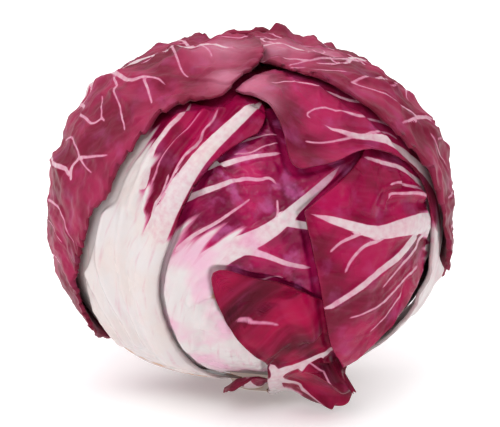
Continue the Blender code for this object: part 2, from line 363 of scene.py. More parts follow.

# %% [markdown]
# ### Lower leaf
#
# This dark flap lies low in front, and its darker finish is painted shade. Its left half swells out into a
# lobe halfway along. The lobe could be a leaf of its own, but there would be a seam where the two meet, so
# the table of half widths simply has more places in it.

# %% Lower leaf
note_leaf(
    "lower_leaf",
    midrib=[(22, -68), (18, -52), (20, -37), (29, -29), (42, -24)],
    left=[3, 3, 3, 4, 4, 5, 5, 6, 7, 7, 8, 9, 10, 15, 29, 42, 34, 28, 24, 19, 15, 14, 14, 14, 14],
    right=[6, 9, 16, 16, 14, 14, 13, 11, 10],
    left_lift=[0, 0],
    right_lift=[1, 6, 12, 13, 11, 8, 5, 4, 3],
    tip=0.30,
    flare=0.1,
    crease=0.05,
    fine=0.0,
    pillow=0.5,
    roll=0.5,
    spacing=0.7,
    cells=(231, 150),
    white=[(-8, 0.30), (0, 0.22), (8, 0.12)],
    ribs=[
        (2.6, 0.6, [(0.10, 0), (0.30, -4), (0.44, -5), (0.51, -1), (0.62, 2), (0.77, 4), (0.90, 5)]),
        (2.6, 0.8, [(0.24, -4), (0.33, -5), (0.44, -6), (0.50, -9)]),
        (1.5, 0.4, [(0.38, -4), (0.33, -2), (0.29, 1), (0.27, 4), (0.24, 7), (0.20, 11)]),
        (0.4, 0.3, [(0.56, 0), (0.55, 3), (0.53, 6), (0.50, 8)]),
        (0.4, 0.2, [(0.60, -27), (0.61, -25), (0.63, -21), (0.645, -16)]),
    ],
    folds=[
        (1.5, 1.2, [(0.61, -30), (0.595, -26), (0.57, -20), (0.54, -13), (0.51, -9)]),
        (2.6, 2.2, [(0.62, -25), (0.605, -22), (0.59, -17), (0.55, -10)]),
        (1.8, 2.6, [(0.72, -25), (0.71, -19), (0.70, -13), (0.68, -6)]),
        (1.8, 2.0, [(0.48, 0), (0.52, 5), (0.50, 9), (0.44, 11)]),
        (1.4, 1.6, [(0.62, 4), (0.66, 8), (0.64, 13)]),
        (1.6, 1.6, [(0.26, 4), (0.24, 8), (0.20, 12)]),
    ],
    pucker=(0.55, 11),
    calm=[(0.60, -38, 7)],
    teeth=(0.9, 7),
    # A darker copy of the leaf material: painted shade for this low leaf.
    finish="shaded",
)

# %% [markdown]
# ### Right leaf
#
# The right leaf comes round from the side and ends in a point, with a strong white midrib and
# long side ribs to its lower corner. A triangle needs no shape of its own: half widths that grow
# towards the tip, and a tip that is rounded off, make one.

# %% Right leaf
note_leaf(
    "right_leaf",
    midrib=[(104, -66), (96, -38), (80, -8), (56, 3), (34, 7), (15, 12)],
    left=[8, 8, 8, 7, 7, 7, 7, 9, 24, 39, 47, 48, 46],
    right=[8, 12, 24, 30, 30, 26],
    left_lift=[0, 0, 0, 0, 1, 2, 2, 3],
    tip=0.20,
    tip_power=1.1,
    tip_lift=1.5,
    pillow=0.7,
    crease=0.2,
    spacing=0.6,
    cells=(231, 201),
    white=[(-20, 0.62), (-6, 0.63), (0, 0.70), (6, 0.66), (20, 0.60)],
    ribs=[
        (
            4.5, 0.7,
            [(0.45, 5), (0.53, 4), (0.62, 1), (0.71, 0),
             (0.78, -1), (0.84, -2), (0.91, -1), (1.0, 0)],
        ),
        (0.8, 0.3, [(0.86, -1), (0.88, -3), (0.91, -6), (0.93, -10)]),
        (0.8, 0.3, [(0.81, -2), (0.83, -4), (0.86, -6), (0.88, -10), (0.89, -15)]),
        (
            1.5, 0.5,
            [(0.66, 0), (0.70, -1), (0.73, -5), (0.77, -9),
             (0.82, -13), (0.88, -21), (0.92, -26)],
        ),
        (0.9, 0.3, [(0.66, -2), (0.68, -4), (0.69, -7), (0.73, -11), (0.77, -15), (0.80, -19)]),
        (0.6, 0.3, [(0.66, -12), (0.69, -15), (0.78, -22), (0.82, -24), (0.86, -27)]),
        (0.5, 0.3, [(0.70, -20), (0.75, -26), (0.79, -32)]),
        (1.2, 0.45, [(0.54, 8), (0.63, 10), (0.71, 12), (0.76, 15), (0.83, 17), (0.89, 18)]),
        (0.8, 0.3, [(0.54, 7), (0.58, 7), (0.66, 9), (0.74, 10), (0.78, 11), (0.82, 10)]),
        (0.7, 0.3, [(0.54, 6), (0.63, 7), (0.72, 8), (0.77, 8), (0.81, 8), (0.82, 6)]),
    ],
    folds=[
        (1.3, 2.2, [(0.60, 7), (0.72, 8), (0.78, 8), (0.82, 7), (0.83, 4)]),
        (2.6, 1.6, [(0.87, 2), (0.86, 6), (0.83, 10), (0.76, 12)]),
        (3.6, 1.0, [(0.60, 2), (0.72, 0), (0.84, -2), (0.98, 0)]),
        (1.6, 0.8, [(0.92, 3), (0.92, 8), (0.89, 14)]),
        (1.6, 0.9, [(0.70, -3), (0.76, -9), (0.84, -17), (0.90, -25)]),
    ],
    pucker=(0.35, 13),
    teeth=(0.5, 5),
)

# %% [markdown]
# ### Upper right leaf
#
# A slim white stalk runs up the right side of the head and opens into a blade that ends in a
# point at the top. A stalk and a blade could be two meshes. One table of half widths that swell
# near the tip keeps the surface and its ribs in one piece.

# %% Upper right leaf
note_leaf(
    "upper_right_leaf",
    midrib=[(90, -66), (80, -34), (67, 0), (54, 22), (33, 32), (13, 43), (-7, 51)],
    left=[8, 9, 10, 10.5, 10.5, 10.5, 10.5, 10, 10, 9, 8, 6, 4, 3, 3, 3, 3, 3, 5, 12, 16, 9, 3, 2, 1],
    right=[8, 10, 12, 20, 27, 28, 22],
    left_lift=[0, 0, 0, 0.3, 1.5, 3, 1.5],
    tip=0.06,
    tip_lift=2.0,
    crease=0.35,
    pillow=0.5,
    spacing=0.65,
    cells=(240, 140),
    white=[(-8, 0.50), (0, 0.48), (4, 0.44), (20, 0.34)],
    ribs=[
        (
            2.8, 0.3,
            [(0.25, 2), (0.40, 6), (0.51, 5), (0.56, 2),
             (0.62, -1), (0.71, 0), (0.77, -1), (0.84, 1)],
        ),
        (
            0.5, 0.3,
            [(0.65, 5), (0.69, 6), (0.73, 6), (0.78, 6),
             (0.82, 6), (0.84, 4), (0.85, 1), (0.83, 0)],
        ),
        (0.4, 0.3, [(0.76, -1), (0.79, -4), (0.81, -6), (0.84, -8)]),
        (0.6, 0.3, [(0.68, 12), (0.77, 12), (0.82, 13), (0.86, 13), (0.90, 11), (0.93, 8), (0.96, 7)]),
        (0.5, 0.3, [(0.74, 0), (0.73, 1), (0.69, 3), (0.66, 2)]),
    ],
    folds=[
        (1.8, 1.6, [(0.30, 2), (0.49, 1), (0.60, 0), (0.72, 1), (0.80, -1)]),
        (1.6, 1.5, [(0.62, 5), (0.68, 7), (0.75, 7), (0.80, 5)]),
        (1.5, 1.0, [(0.72, 1), (0.735, 4), (0.74, 6)]),
        (2.4, 1.2, [(0.60, 12), (0.72, 13), (0.84, 14), (0.94, 8)]),
    ],
    pucker=(0.4, 11),
    teeth=(0.5, 7),
    pale=[(0.99, 3, 8), (0.93, -3, 4)],
    finish="half bared",
)

# %% [markdown]
# ### Back right leaf
#
# Two wrapper leaves close the back. Nothing on them is special, so they are ovals with ribs by rule,
# a rougher margin and a duller finish, and they take few lines.

# %% Back right leaf
note_leaf(
    "back_right_leaf",
    midrib=[(152, -68), (148, -36), (148, 2), (152, 36), (172, 66)],
    left=[10, 28, 38, 34, 20],
    right=[10, 30, 40, 36, 22],
    left_lift=[0, 1, 2, 2, 2],
    crease=0.6,
    roll=0.5,
    spacing=1.0,
    cells=(150, 111),
    side_ribs=7,
    pucker=(0.9, 13),
    teeth=(1.2, 7),
    finish="half bared",
)

# %% [markdown]
# ### Back leaf
#
# The second wrapper leaf is an oval too. It was laid over the first, so its tip and its right
# margin stand off a little more.

# %% Back leaf
note_leaf(
    "back_leaf",
    midrib=[(-176, -69), (-178, -38), (178, -4), (178, 28), (-176, 56)],
    left=[10, 26, 34, 32, 20],
    right=[10, 26, 36, 32, 20],
    left_lift=[0, 1, 2, 2, 2],
    right_lift=[0, 1, 2, 3, 3],
    tip_lift=2.0,
    crease=0.7,
    roll=0.6,
    spacing=1.0,
    cells=(165, 120),
    side_ribs=7,
    pucker=(1.0, 13),
    teeth=(1.5, 7),
    finish="weathered",
)

# %% [markdown]
# ### Right hood leaf
#
# The two hood leaves are the outermost. They have been out in the air, so they are crinkled, faded in
# patches and finely veined, and near the top they carry pale spots that are partly that fading and partly
# painted highlight where the top light falls. Cloth that is simulated would crinkle everywhere alike, so
# strong puckers by rule are joined here by three drawn folds. This leaf wraps the right side and folds over
# the top.

# %% Right hood leaf
note_leaf(
    "hood_right_leaf",
    midrib=[(132, -67), (120, -36), (104, 0), (92, 30), (76, 56), (30, 76), (-45, 68)],
    left=[8, 9, 11, 19, 33, 36, 36, 33, 22, 13, 8],
    right=[10, 28, 40, 42, 36, 28, 12],
    left_lift=[0, 0.5, 0.5, 1, 1, 1, 1],
    right_lift=[0, 1, 1, 1, 1, 0.5, 0.5],
    tip_lift=0.5,
    crease=0.25,
    roll=0.5,
    spacing=1.0,
    cells=(280, 190),
    white=[(-40, 0.10), (-10, 0.16), (0, 0.30), (10, 0.16), (40, 0.10)],
    ribs=[
        (2.6, 0.5, [(0.05, 0), (0.30, 0), (0.50, 2), (0.62, 4), (0.74, 2), (0.86, 3), (0.95, 0)]),
        (0.9, 0.4, [(0.60, 6), (0.68, 13), (0.73, 1), (0.75, -6), (0.78, -9), (0.81, -10)]),
        (1.0, 0.4, [(0.46, 2), (0.54, -2), (0.58, -13), (0.61, -15), (0.64, -20), (0.65, -26)]),
        (0.7, 0.3, [(0.52, 3), (0.61, 0), (0.645, -8), (0.64, -13)]),
        (0.7, 0.4, [(0.82, 18), (0.88, 13), (0.87, 6), (0.86, 1)]),
    ],
    folds=[
        (2.4, 1.5, [(0.50, -8), (0.58, -18), (0.66, -24)]),
        (2.0, 1.4, [(0.60, -2), (0.68, -12), (0.76, -18)]),
        (2.2, 1.3, [(0.70, 4), (0.78, -4), (0.86, -6)]),
    ],
    side_ribs=6,
    pucker=(1.4, 14),
    teeth=(1.7, 5.5),
    pale=[(0.86, -1, 9), (0.78, 6, 8)],
    finish="weathered",
)

# %% [markdown]
# ### Left hood leaf
#
# The last leaf laid covers the left side. Its right margin runs in a long curve over the front,
# with uneven teeth, and thin veins meet on it in a net. A smooth curve can't turn so often, so its
# right half widths have 21 places, and the net is drawn vein by vein.

# %% Left hood leaf
note_leaf(
    "hood_left_leaf",
    midrib=[(-128, -69), (-110, -34), (-100, 4), (-86, 34), (-62, 58), (10, 66)],
    left=[10, 30, 40, 40, 30, 14],
    right=[8, 9, 12, 18, 34, 45, 47, 47, 47, 48, 49, 49, 48, 45, 45, 40, 35, 28, 24, 23, 10],
    right_lift=[0.5, 1, 0.8, 0.8, 1.2, 2],
    left_lift=[0, 1, 2, 2, 1, 0],
    tip=0.04,
    tip_lift=0.0,
    crease=0.25,
    roll=0.5,
    spacing=1.0,
    cells=(280, 200),
    white=[(-40, 0.10), (-10, 0.16), (0, 0.30), (10, 0.16), (40, 0.10)],
    ribs=[
        (2.8, 0.6, [(0.05, 0), (0.30, 0), (0.50, -4), (0.65, -10), (0.78, -12), (0.88, -8), (0.96, -2)]),
        (0.9, 0.3, [(0.62, -9), (0.68, -8), (0.74, 4), (0.77, 10), (0.80, 11), (0.82, 12), (0.85, 16)]),
        (0.5, 0.35, [(0.72, 2), (0.74, 10), (0.75, 16), (0.76, 24), (0.77, 30)]),
        (0.5, 0.35, [(0.80, 12), (0.81, 17), (0.82, 22)]),
        (0.7, 0.3, [(0.74, -32), (0.78, -28), (0.84, -13), (0.88, -6), (0.90, -1), (0.91, 2)]),
        (0.5, 0.3, [(0.80, -14), (0.84, 0), (0.86, 8), (0.88, 12)]),
        (0.6, 0.35, [(0.60, -6), (0.64, 3), (0.64, 7), (0.67, 14), (0.69, 19), (0.71, 19), (0.72, 22)]),
        (0.4, 0.3, [(0.71, 19), (0.71, 15), (0.70, 7)]),
        (0.9, 0.6, [(0.46, -2), (0.54, 8), (0.58, 19), (0.61, 25), (0.62, 30)]),
        (0.7, 0.35, [(0.62, 30), (0.63, 27), (0.65, 27), (0.67, 29), (0.70, 32), (0.74, 35)]),
        (0.4, 0.3, [(0.65, 27), (0.66, 31), (0.68, 36)]),
        (0.5, 0.35, [(0.65, 27), (0.65, 24), (0.64, 20), (0.63, 16), (0.58, 9)]),
        (0.5, 0.3, [(0.50, 20), (0.54, 29), (0.55, 34), (0.55, 41), (0.55, 46)]),
        (0.5, 0.3, [(0.36, 4), (0.44, 16), (0.48, 28), (0.49, 40)]),
        (0.5, 0.3, [(0.26, 2), (0.34, 14), (0.39, 26), (0.41, 38)]),
    ],
    folds=[
        (2.6, 1.8, [(0.60, -12), (0.70, -4), (0.78, 8), (0.84, 14)]),
        (2.0, 1.6, [(0.78, -20), (0.84, -4), (0.88, 6), (0.92, 10)]),
        (1.8, 1.4, [(0.72, 8), (0.78, 20), (0.80, 28)]),
        (2.6, 1.6, [(0.50, 0), (0.57, 14), (0.61, 26)]),
    ],
    side_ribs=-6,
    pucker=(1.2, 14),
    teeth=(2.4, 4.5),
    pale=[(0.92, -4, 8), (0.95, 14, 5)],
    finish="weathered",
)

# %% [markdown]
# ## One leaf as a coordinate system
#
# Every leaf grows from its base to its tip, with a midrib down the middle, and lies bent over the
# head. It could be modelled flat and bent with modifiers, but nothing then tells where a given spot
# on the head falls on the leaf. So a leaf carries its own map: v runs along the midrib and w across
# it, from -1 at the left margin to 1 at the right one. The map works both ways, because draping
# needs to ask of any direction whether it is inside a leaf's outline, and how far outside it is.

# %% The leaf's map
PATH_SAMPLES = 161
PATH_POINTS = 400
MARGIN_WAVES = 17
MARGIN_WAVE_SHARE = 0.2
TIP_LIFT_START = 0.78


class Leaf:
    """A leaf on the unit sphere round the head's centre.

    The middle line is a smooth curve through the midrib's directions. At each place on it, "along" is
    its tangent and "across" the tangent turned a quarter to the right on the sphere. The place (v, w)
    is the middle at v, turned towards "across" by w times the half width there.
    """

    def __init__(self, name, facts):
        ends = [direction(*place) for place in facts["midrib"]]
        path = unit(spline(ends, np.linspace(0, 1, PATH_POINTS)))
        run = np.concatenate([[0], np.cumsum(np.linalg.norm(np.diff(path, axis=0), axis=1))])
        self.name = name
        self.facts = facts
        self.length = run[-1]
        self.v = np.linspace(0, 1, PATH_SAMPLES)
        self.middle = unit(read_rows(path, run, self.v * self.length))
        along = np.gradient(self.middle, axis=0)
        along -= (along * self.middle).sum(1, keepdims=True) * self.middle
        self.along = unit(along)
        self.across = np.cross(self.along, self.middle)
        self.left = np.radians(spline(facts["left"], self.v))
        self.right = np.radians(spline(facts["right"], self.v))
        self.left_lift = spline(facts["left_lift"], self.v) / 1000
        self.right_lift = spline(facts["right_lift"], self.v) / 1000

    def half_width(self, v, side):
        """The half width in radians at v, on the left where side is negative."""
        return np.where(side < 0, np.interp(v, self.v, self.left), np.interp(v, self.v, self.right))

    def end(self, w):
        """How far along the leaf reaches on each line w: 1 less the rounding times |w| to a power."""
        return 1 - self.facts["tip"] * np.abs(w) ** self.facts["tip_power"]

    def find(self, d):
        """v, w and the angle outside the outline, for directions d.

        The nearest place on the middle line gives v, and the angle from it to d, divided by the half
        width there, gives w. Outside is the largest of three: how far d lies past a side margin, past
        the tip and before the base.
        """
        near = np.argmax(d @ self.middle.T, axis=1)
        ahead = np.einsum("ij,ij->i", d, self.along[near])
        neighbour = np.clip(near + np.where(ahead > 0, 1, -1), 0, PATH_SAMPLES - 1)
        there = np.einsum("ij,ij->i", d, self.along[neighbour])
        between = (neighbour != near) & (ahead * there < 0)
        share = np.where(between, ahead / np.where(between, ahead - there, 1), 0)
        v = (near + (neighbour - near) * share) / (PATH_SAMPLES - 1)
        v = np.where(neighbour == near, v + ahead / self.length, v)
        on_leaf = np.clip(v, 0, 1)
        middle = read_rows(self.middle, self.v, on_leaf)
        across = read_rows(self.across, self.v, on_leaf)
        angle = np.arctan2((d * across).sum(1), (d * middle).sum(1))
        half = self.half_width(on_leaf, angle)
        w = angle / half
        past_tip = (v - self.end(np.clip(w, -1, 1))) * self.length
        return v, w, np.maximum(np.maximum(np.abs(angle) - half, past_tip), -v * self.length)

    def lift(self, v, w):
        """How far margins and tip stand off, in metres.

        It is the margin's height from the table, times a wave along it and eased in across the leaf,
        plus the tip's height, eased in along the leaf.
        """
        left = np.interp(v, self.v, self.left_lift)
        right = np.interp(v, self.v, self.right_lift)
        wave = np.sin(MARGIN_WAVES * v + 5 * self.length)
        wave = 1 - MARGIN_WAVE_SHARE + MARGIN_WAVE_SHARE * wave
        rise = ease(np.abs(w), self.facts["flare"], 1)
        tip = self.facts["tip_lift"] / 1000 * ease(v, TIP_LIFT_START, 1)
        return np.where(w < 0, left, right) * wave * rise + tip


leaves = [Leaf(name, facts) for name, facts in LEAVES.items()]
for leaf in leaves:
    print(leaf.name, "is", round(math.degrees(leaf.length)), "mm long")

# %% [markdown]
# ## The form under the leaves
#
# Inside the leaves is the tight heart, a ball a little squared at the shoulders and flat at the
# foot. It could be a sphere pressed into shape with a lattice. As a formula it can be asked for its
# radius in any direction, and that is all that a leaf needs in order to lie on it.

# %% The heart's radius
HALF_WIDTH_LEFT = 0.0645
HALF_WIDTH_RIGHT = 0.0612
HALF_DEPTH = 0.0610
HALF_HEIGHT = 0.0545
SQUARENESS = 2.25
FLATTENING = 14
WRAP_DEPTH = 0.0055
FOOT_HEIGHT = 0.0090
FRONT_FOOT_DROP = 0.0030
FRONT_FOOT_REACH = 0.3
LEAST_DOWNWARD = 0.05


def head_radius(d):
    """The heart's distance from the centre: a super-ellipsoid joined to a flat foot, lower in front.

    On a super-ellipsoid the sum of (part of d / half size) to the power of its squareness is 1. The
    foot's radius is its depth under the centre over the downward part of d. The two are joined with
    a smooth minimum: the sum of their -14th powers, to the power -1/14.
    """
    width = np.where(d[:, 0] < 0, HALF_WIDTH_LEFT, HALF_WIDTH_RIGHT)
    halves = np.stack([width, 0 * width + HALF_DEPTH, 0 * width + HALF_HEIGHT], -1) - WRAP_DEPTH
    body = ((np.abs(d) / halves) ** SQUARENESS).sum(-1) ** (-1 / SQUARENESS)
    drop = FRONT_FOOT_DROP * ease(-d[:, 1], 0, FRONT_FOOT_REACH)
    foot = (HEAD_CENTRE[2] - FOOT_HEIGHT + drop) / np.maximum(-d[:, 2], LEAST_DOWNWARD)
    return (body**-FLATTENING + foot**-FLATTENING) ** (-1 / FLATTENING)


reaches = head_radius(np.array([direction(90, 0), direction(0, 0), direction(0, 90)]))
print("heart reaches", np.round(reaches * 1000, 1), "mm right, forward and up")

# %% [markdown]
# ## Draping
#
# In a real head new leaves form inside and press the older ones outwards, so every leaf lies on those
# within it. A cloth simulation could press twelve sheets together, but slowly, and thin sheets tend
# to slip through one another. Here the leaves are laid one by one. A field holds the height of what
# is already there. A new leaf lies one step above it, and then the field rises to that leaf's height
# inside its outline and sinks back smoothly outside it. So leaves never cross, and each bulges where
# others lie under it.

# %% The drape
LAYER_STEP = 0.0018
DRAPE_REACH = 0.20
COVER_EDGE = 0.03
COVER_FADE = 0.22
RELIEF_EDGE = 0.005
RELIEF_FADE = 0.035
GROUND_CLEARANCE = 0.0006


def above_ground(radius, d):
    """The radius, at most the height of the centre less a clearance, over the downward part of d."""
    return np.minimum(radius, (HEAD_CENTRE[2] - GROUND_CLEARANCE) / np.maximum(-d[:, 2], LEAST_DOWNWARD))


def lay(number, d):
    """Radius of a leaf in the directions d, and how bare and how loose it is there, from 0 to 1.

    The radius is the field's plus one step, plus the leaf's lift where no later leaf covers it. The
    field moves up to that radius by exp(-(angle outside / reach)^2) of the gap. A leaf is bare and
    loose where no later leaf lies. Bareness fades over a narrow band, and looseness over a wide one.
    """
    places = [leaf.find(d) for leaf in leaves]
    covers = np.array([1 - ease(place[2], COVER_EDGE, COVER_FADE) for place in places])
    tight = np.array([1 - ease(place[2], RELIEF_EDGE, RELIEF_FADE) for place in places])
    under = head_radius(d)
    for k, (v, w, outside) in enumerate(places[: number + 1]):
        covered = covers[k + 1 :].max(axis=0, initial=0)
        radius = above_ground(under + LAYER_STEP + (1 - covered) * leaves[k].lift(v, w), d)
        if k < number:
            under += (radius - under) * np.exp(-((np.maximum(outside, 0) / DRAPE_REACH) ** 2))
    return radius, 1 - tight[number + 1 :].max(axis=0, initial=0), 1 - covered


# %% [markdown]
# ## Ribs
#
# A rib is the vein that stiffens a leaf, thick and white at its start and thin at its end. It could
# be a tube laid on the blade, but a real one swells out of the blade with no seam. So a rib is only
# a smooth line, and what the skin needs of it is a distance: how far each point of the leaf is from
# that line. From the distance come the rib's raised, rounded section and its white colour.

# %% Distance to a line
FAR_MM = 9.0
LINE_MARGIN_MM = 12


def line_distance(x, y, line):
    """Distance in mm from the points to the line, with its sign, and where on the line, from 0 to 1.

    For each straight piece of the line the foot of the perpendicular is kept inside the piece, and
    the shortest of all the distances is taken. It is positive on the line's right, negative on its left.
    """
    best = np.full(x.shape, FAR_MM)
    side = np.ones(x.shape)
    where = np.zeros(x.shape)
    steps = len(line) - 1
    low, high = line.min(0) - LINE_MARGIN_MM, line.max(0) + LINE_MARGIN_MM
    near = np.flatnonzero((x > low[0]) & (x < high[0]) & (y > low[1]) & (y < high[1]))
    px, py = x[near], y[near]
    best_near, where_near, side_near = best[near], where[near], side[near]
    for i in range(steps):
        ax, ay = line[i]
        bx, by = line[i + 1] - line[i]
        t = np.clip(((px - ax) * bx + (py - ay) * by) / (bx * bx + by * by), 0, 1)
        gap = np.hypot(px - ax - t * bx, py - ay - t * by)
        closer = gap < best_near
        best_near = np.where(closer, gap, best_near)
        where_near = np.where(closer, (i + t) / steps, where_near)
        side_near = np.where(closer, np.where(bx * (py - ay) < by * (px - ax), 1, -1), side_near)
    best[near], where[near], side[near] = best_near, where_near, side_near
    return best * side, where


straight = np.array([(0.0, 0.0), (0.0, 10.0)])
distance, where = line_distance(np.array([2.0]), np.array([5.0]), straight)
print("a point right of a line is", distance[0], "mm away,", where[0], "of the way along it")

# %% [markdown]
# ### Drawn ribs and ribs by rule
#
# The ribs that face us are drawn, each from a few points. On the leaves that turn their back to us
# the side ribs come by rule: they leave the midrib at an acute angle, bend towards the tip, fork and
# carry a twig. Drawing those as well would take long and show little.

# %% Drawn ribs and ribs by rule
RIB_SAMPLES = 18
RULE_START = 0.16
RULE_SPAN = 0.62
RULE_REACH = 0.86


def drawn_line(leaf, points):
    """A rib's line in mm on the flat leaf: across in degrees, and along as v times the length."""
    along = math.degrees(leaf.length)
    return spline([(across, v * along) for v, across in points], np.linspace(0, 1, RIB_SAMPLES))


def side_ribs(leaf, count, seed):
    """Side ribs by rule, as many as count on each side, or on the left alone where it is negative.

    Each starts on the midrib, runs out to RULE_REACH of the half width and towards the tip, as the
    0.8th power of how far out it is. A fork leaves it at 0.6 of the way and a twig at 0.3.
    """
    draw = np.random.default_rng(seed)
    ribs = []
    for i in range(abs(count)):
        for side in (-1, 1) if count > 0 else (-1,):
            start = RULE_START + RULE_SPAN * (i + draw.uniform(0.2, 0.8)) / abs(count)
            reach = RULE_REACH * np.degrees(leaf.half_width(min(start + 0.12, 1), side))
            rise = draw.uniform(0.11, 0.17)
            bend = [(start + rise * t**0.8, side * reach * t) for t in (0, 0.3, 0.6, 0.85, 1)]
            ribs.append((1.1 * (1.2 - start), 0.32, bend))
            fork = [bend[2], (bend[2][0] + 0.07, bend[2][1] * 1.12), (bend[2][0] + 0.14, bend[2][1] * 1.18)]
            ribs.append((0.55, 0.3, fork))
            twig = [bend[1], (bend[1][0] - 0.01, bend[1][1] * 1.7), (bend[1][0] + 0.01, bend[1][1] * 2.3)]
            ribs.append((0.5, 0.3, twig))
    return ribs


def all_ribs(leaf, seed):
    """The ribs drawn in the leaf's table, and then those made by rule."""
    return leaf.facts["ribs"] + side_ribs(leaf, leaf.facts["side_ribs"], seed)


print("ribs drawn in the tables:", sum(len(leaf.facts["ribs"]) for leaf in leaves))

# %% [markdown]
# ## Relief
#
# Between its ribs a radicchio blade is puckered, because it grew faster than its veins. Bump in the
# material could fake that, but it leaves the outline smooth and is lost when the mesh is used
# elsewhere. So all but the finest wrinkles are real height: ribs, folds, puckers and creases.

# %% Ripples


def ripples(x, y, wavelength, seed, waves=9):
    """An even, random looking field, mostly from -1 to 1.

    It is the sum of a few plane waves in seeded directions, each a little bent, over the root of
    twice their number.
    """
    draw = np.random.default_rng(seed)
    total = np.zeros_like(x)
    for turn, stretch, phase in zip(
        draw.uniform(0, math.pi, waves), draw.uniform(0.7, 1.4, waves), draw.uniform(0, 6.28, waves)
    ):
        k = 2 * math.pi / (wavelength * stretch)
        bend = 0.6 * np.sin(k * 0.45 * (x * math.sin(turn) - y * math.cos(turn)) + 2 * phase)
        total += np.sin(k * (x * math.cos(turn) + y * math.sin(turn)) + phase + bend)
    return total / math.sqrt(waves / 2) / 2


# %% Relief
RIB_HEIGHT_SHARE = 0.34
RIB_HEIGHT_LEAST = 0.22
RIB_HEIGHT_MOST = 1.7
RIB_SPREAD = 1.3
RIB_FOOT_MM = 0.7
RIB_POINT_MM = 0.8
RIB_EDGE_MM = 0.6
FOLD_END_FADE = 0.06
PILLOW_REACH_MM = 3
FINE_RIPPLE_MM = 3.4


def relief(leaf, x, y, v, bare, seed):
    """Height over the plain leaf in metres, and three numbers that tell where the ribs are, in mm.

    A rib's section is h (1 - (distance / reach)^2), its reach a little over the half width, and a
    fold's h exp(-(distance / half width)^2). The blade between ribs is pillowed,
    h (1 - exp(-distance / 3 mm)), and has puckers, creases and fine ripples. All of it is outward,
    and only where the leaf is bare, so nothing presses into a neighbour. The three numbers belong to
    the rib that the point is deepest in: signed distance, half width and how far inside its edge.
    """
    height = np.zeros_like(x)
    mask = np.zeros_like(x)
    nearest = np.full_like(x, FAR_MM)
    side, wide, inside = np.full_like(x, FAR_MM), np.full_like(x, -FAR_MM), np.full_like(x, -FAR_MM)
    for start, end, points in all_ribs(leaf, seed):
        off, t = line_distance(x, y, drawn_line(leaf, points))
        gap = np.abs(off)
        half = start + (end - start) * t
        tall = np.minimum(RIB_HEIGHT_LEAST + RIB_HEIGHT_SHARE * half, RIB_HEIGHT_MOST)
        reach = RIB_SPREAD * half + RIB_FOOT_MM
        height = np.maximum(height, tall * np.clip(1 - (gap / reach) ** 2, 0, 1))
        half = half - RIB_POINT_MM * ease(t, 0.9, 1)
        deeper = half - gap > inside
        side, wide = np.where(deeper, off, side), np.where(deeper, half, wide)
        inside = np.maximum(inside, half - gap)
        mask = np.maximum(mask, ease(half - gap, -RIB_EDGE_MM, RIB_EDGE_MM))
        nearest = np.minimum(nearest, gap)
    rise = np.zeros_like(x)
    for half, tall, points in leaf.facts["folds"]:
        off, t = line_distance(x, y, drawn_line(leaf, points))
        ends = ease(t * (1 - t), 0, FOLD_END_FADE)
        rise = np.maximum(rise, tall * np.exp(-((off / half) ** 2)) * ends)
    # Puckers are bumps with smaller bumps on them, cut off below 0, lower on ribs and at the base.
    amount, size = leaf.facts["pucker"]
    pucker = 0.5 + 0.6 * ripples(x, y, size, seed) + 0.2 * ripples(x, y, size * 0.42, seed + 1)
    pucker = amount * np.clip(pucker, 0, 1.6) * (1 - 0.6 * mask) * ease(v, 0.12, 0.4)
    # Creases are sharp ridges that follow the zero lines of a wider field.
    ridge = np.clip(1 - 2.4 * np.abs(ripples(x, y, size * 1.4, seed + 2)), 0, 1) ** 2
    crease = leaf.facts["crease"] * ridge * ease(v, 0.2, 0.5)
    pillow = leaf.facts["pillow"] * (1 - np.exp(-nearest / PILLOW_REACH_MM))
    fine = leaf.facts["fine"] * (1 + ripples(x, y, FINE_RIPPLE_MM, seed + 4)) * (1 - 0.5 * mask)
    return (height + rise + pucker + crease + pillow + fine) * bare / 1000, (side, wide, inside)


print("a rib 4 mm wide stands", round(RIB_HEIGHT_LEAST + RIB_HEIGHT_SHARE * 2, 2), "mm high")

# %% [markdown]
# ## Margins, white base and spots
#
# The edge of a leaf is finely toothed, its foot is white and it may have a dried or faded spot.
# These could be painted on an image for each leaf. As formulas of place they are sharp at any size,
# and they can move the mesh as well as the colour.

# %% Margins, white base and spots
BACK_PART = 0.8
OUT_PART = 0.2
STREAKS_MM = 9


def tooth_line(s, pitch, seed):
    """Teeth along a margin, -1 to 0, at the distances s in mm.

    A saw that slopes back for 4/5 of its pitch and steps out in the rest. Slow waves make its pitch
    and its depth uneven.
    """
    turns = s / pitch + 0.35 * np.sin(s / 9.7 + seed) + 0.2 * np.sin(s / 4.3 + 2 * seed)
    part = turns - np.floor(turns)
    saw = np.where(part < BACK_PART, part / BACK_PART, (1 - part) / OUT_PART)
    return -saw * (0.65 + 0.35 * np.sin(s / 7.1 + seed))


def white_field(leaf, x, y, v, seed):
    """1 in the white base and 0 in the red blade: v against the table's end, feathered in streaks.

    Between them the change takes about a tenth of the leaf, as the red thins out to pink.
    """
    table = np.array(leaf.facts["white"])
    limit = np.interp(x, table[:, 0], table[:, 1])
    streaks = 0.030 * ripples(x * 3.2, y * 0.35, STREAKS_MM, seed + 5)
    streaks += 0.020 * ripples(x * 1.5, y * 0.8, STREAKS_MM, seed + 6)
    return 1 - ease(v, limit - 0.05 + streaks, limit + 0.04 + streaks)


def spots(leaf, kind, x, y):
    """How dry, pale or calm the tissue is, where pale is fading and painted highlight of the top light: the
    largest exp(-(distance / radius)^2) of its spots, in mm.
    """
    most = np.zeros_like(x)
    for v, across, radius in leaf.facts[kind]:
        away = np.hypot(x - across, y - v * math.degrees(leaf.length))
        most = np.maximum(most, np.exp(-((away / radius) ** 2)))
    return most


white_ends = [place for place, end in PLAIN_LEAF["white"]]
print("a plain leaf's white base is given from", white_ends[0], "to", white_ends[-1], "degrees across")

# %% [markdown]
# ## A closed sheet
#
# A leaf is about a millimetre thick, so its mesh needs two sides and an edge. The Solidify modifier
# could add them, but the side that is turned in shows only at loose margins. So that side is a grid
# a third as fine, sewn to the outer one round the rim, and the mesh has little more than half the
# triangles of two fine sides.

# %% Grids and sewn rims
INNER_STEP = 3


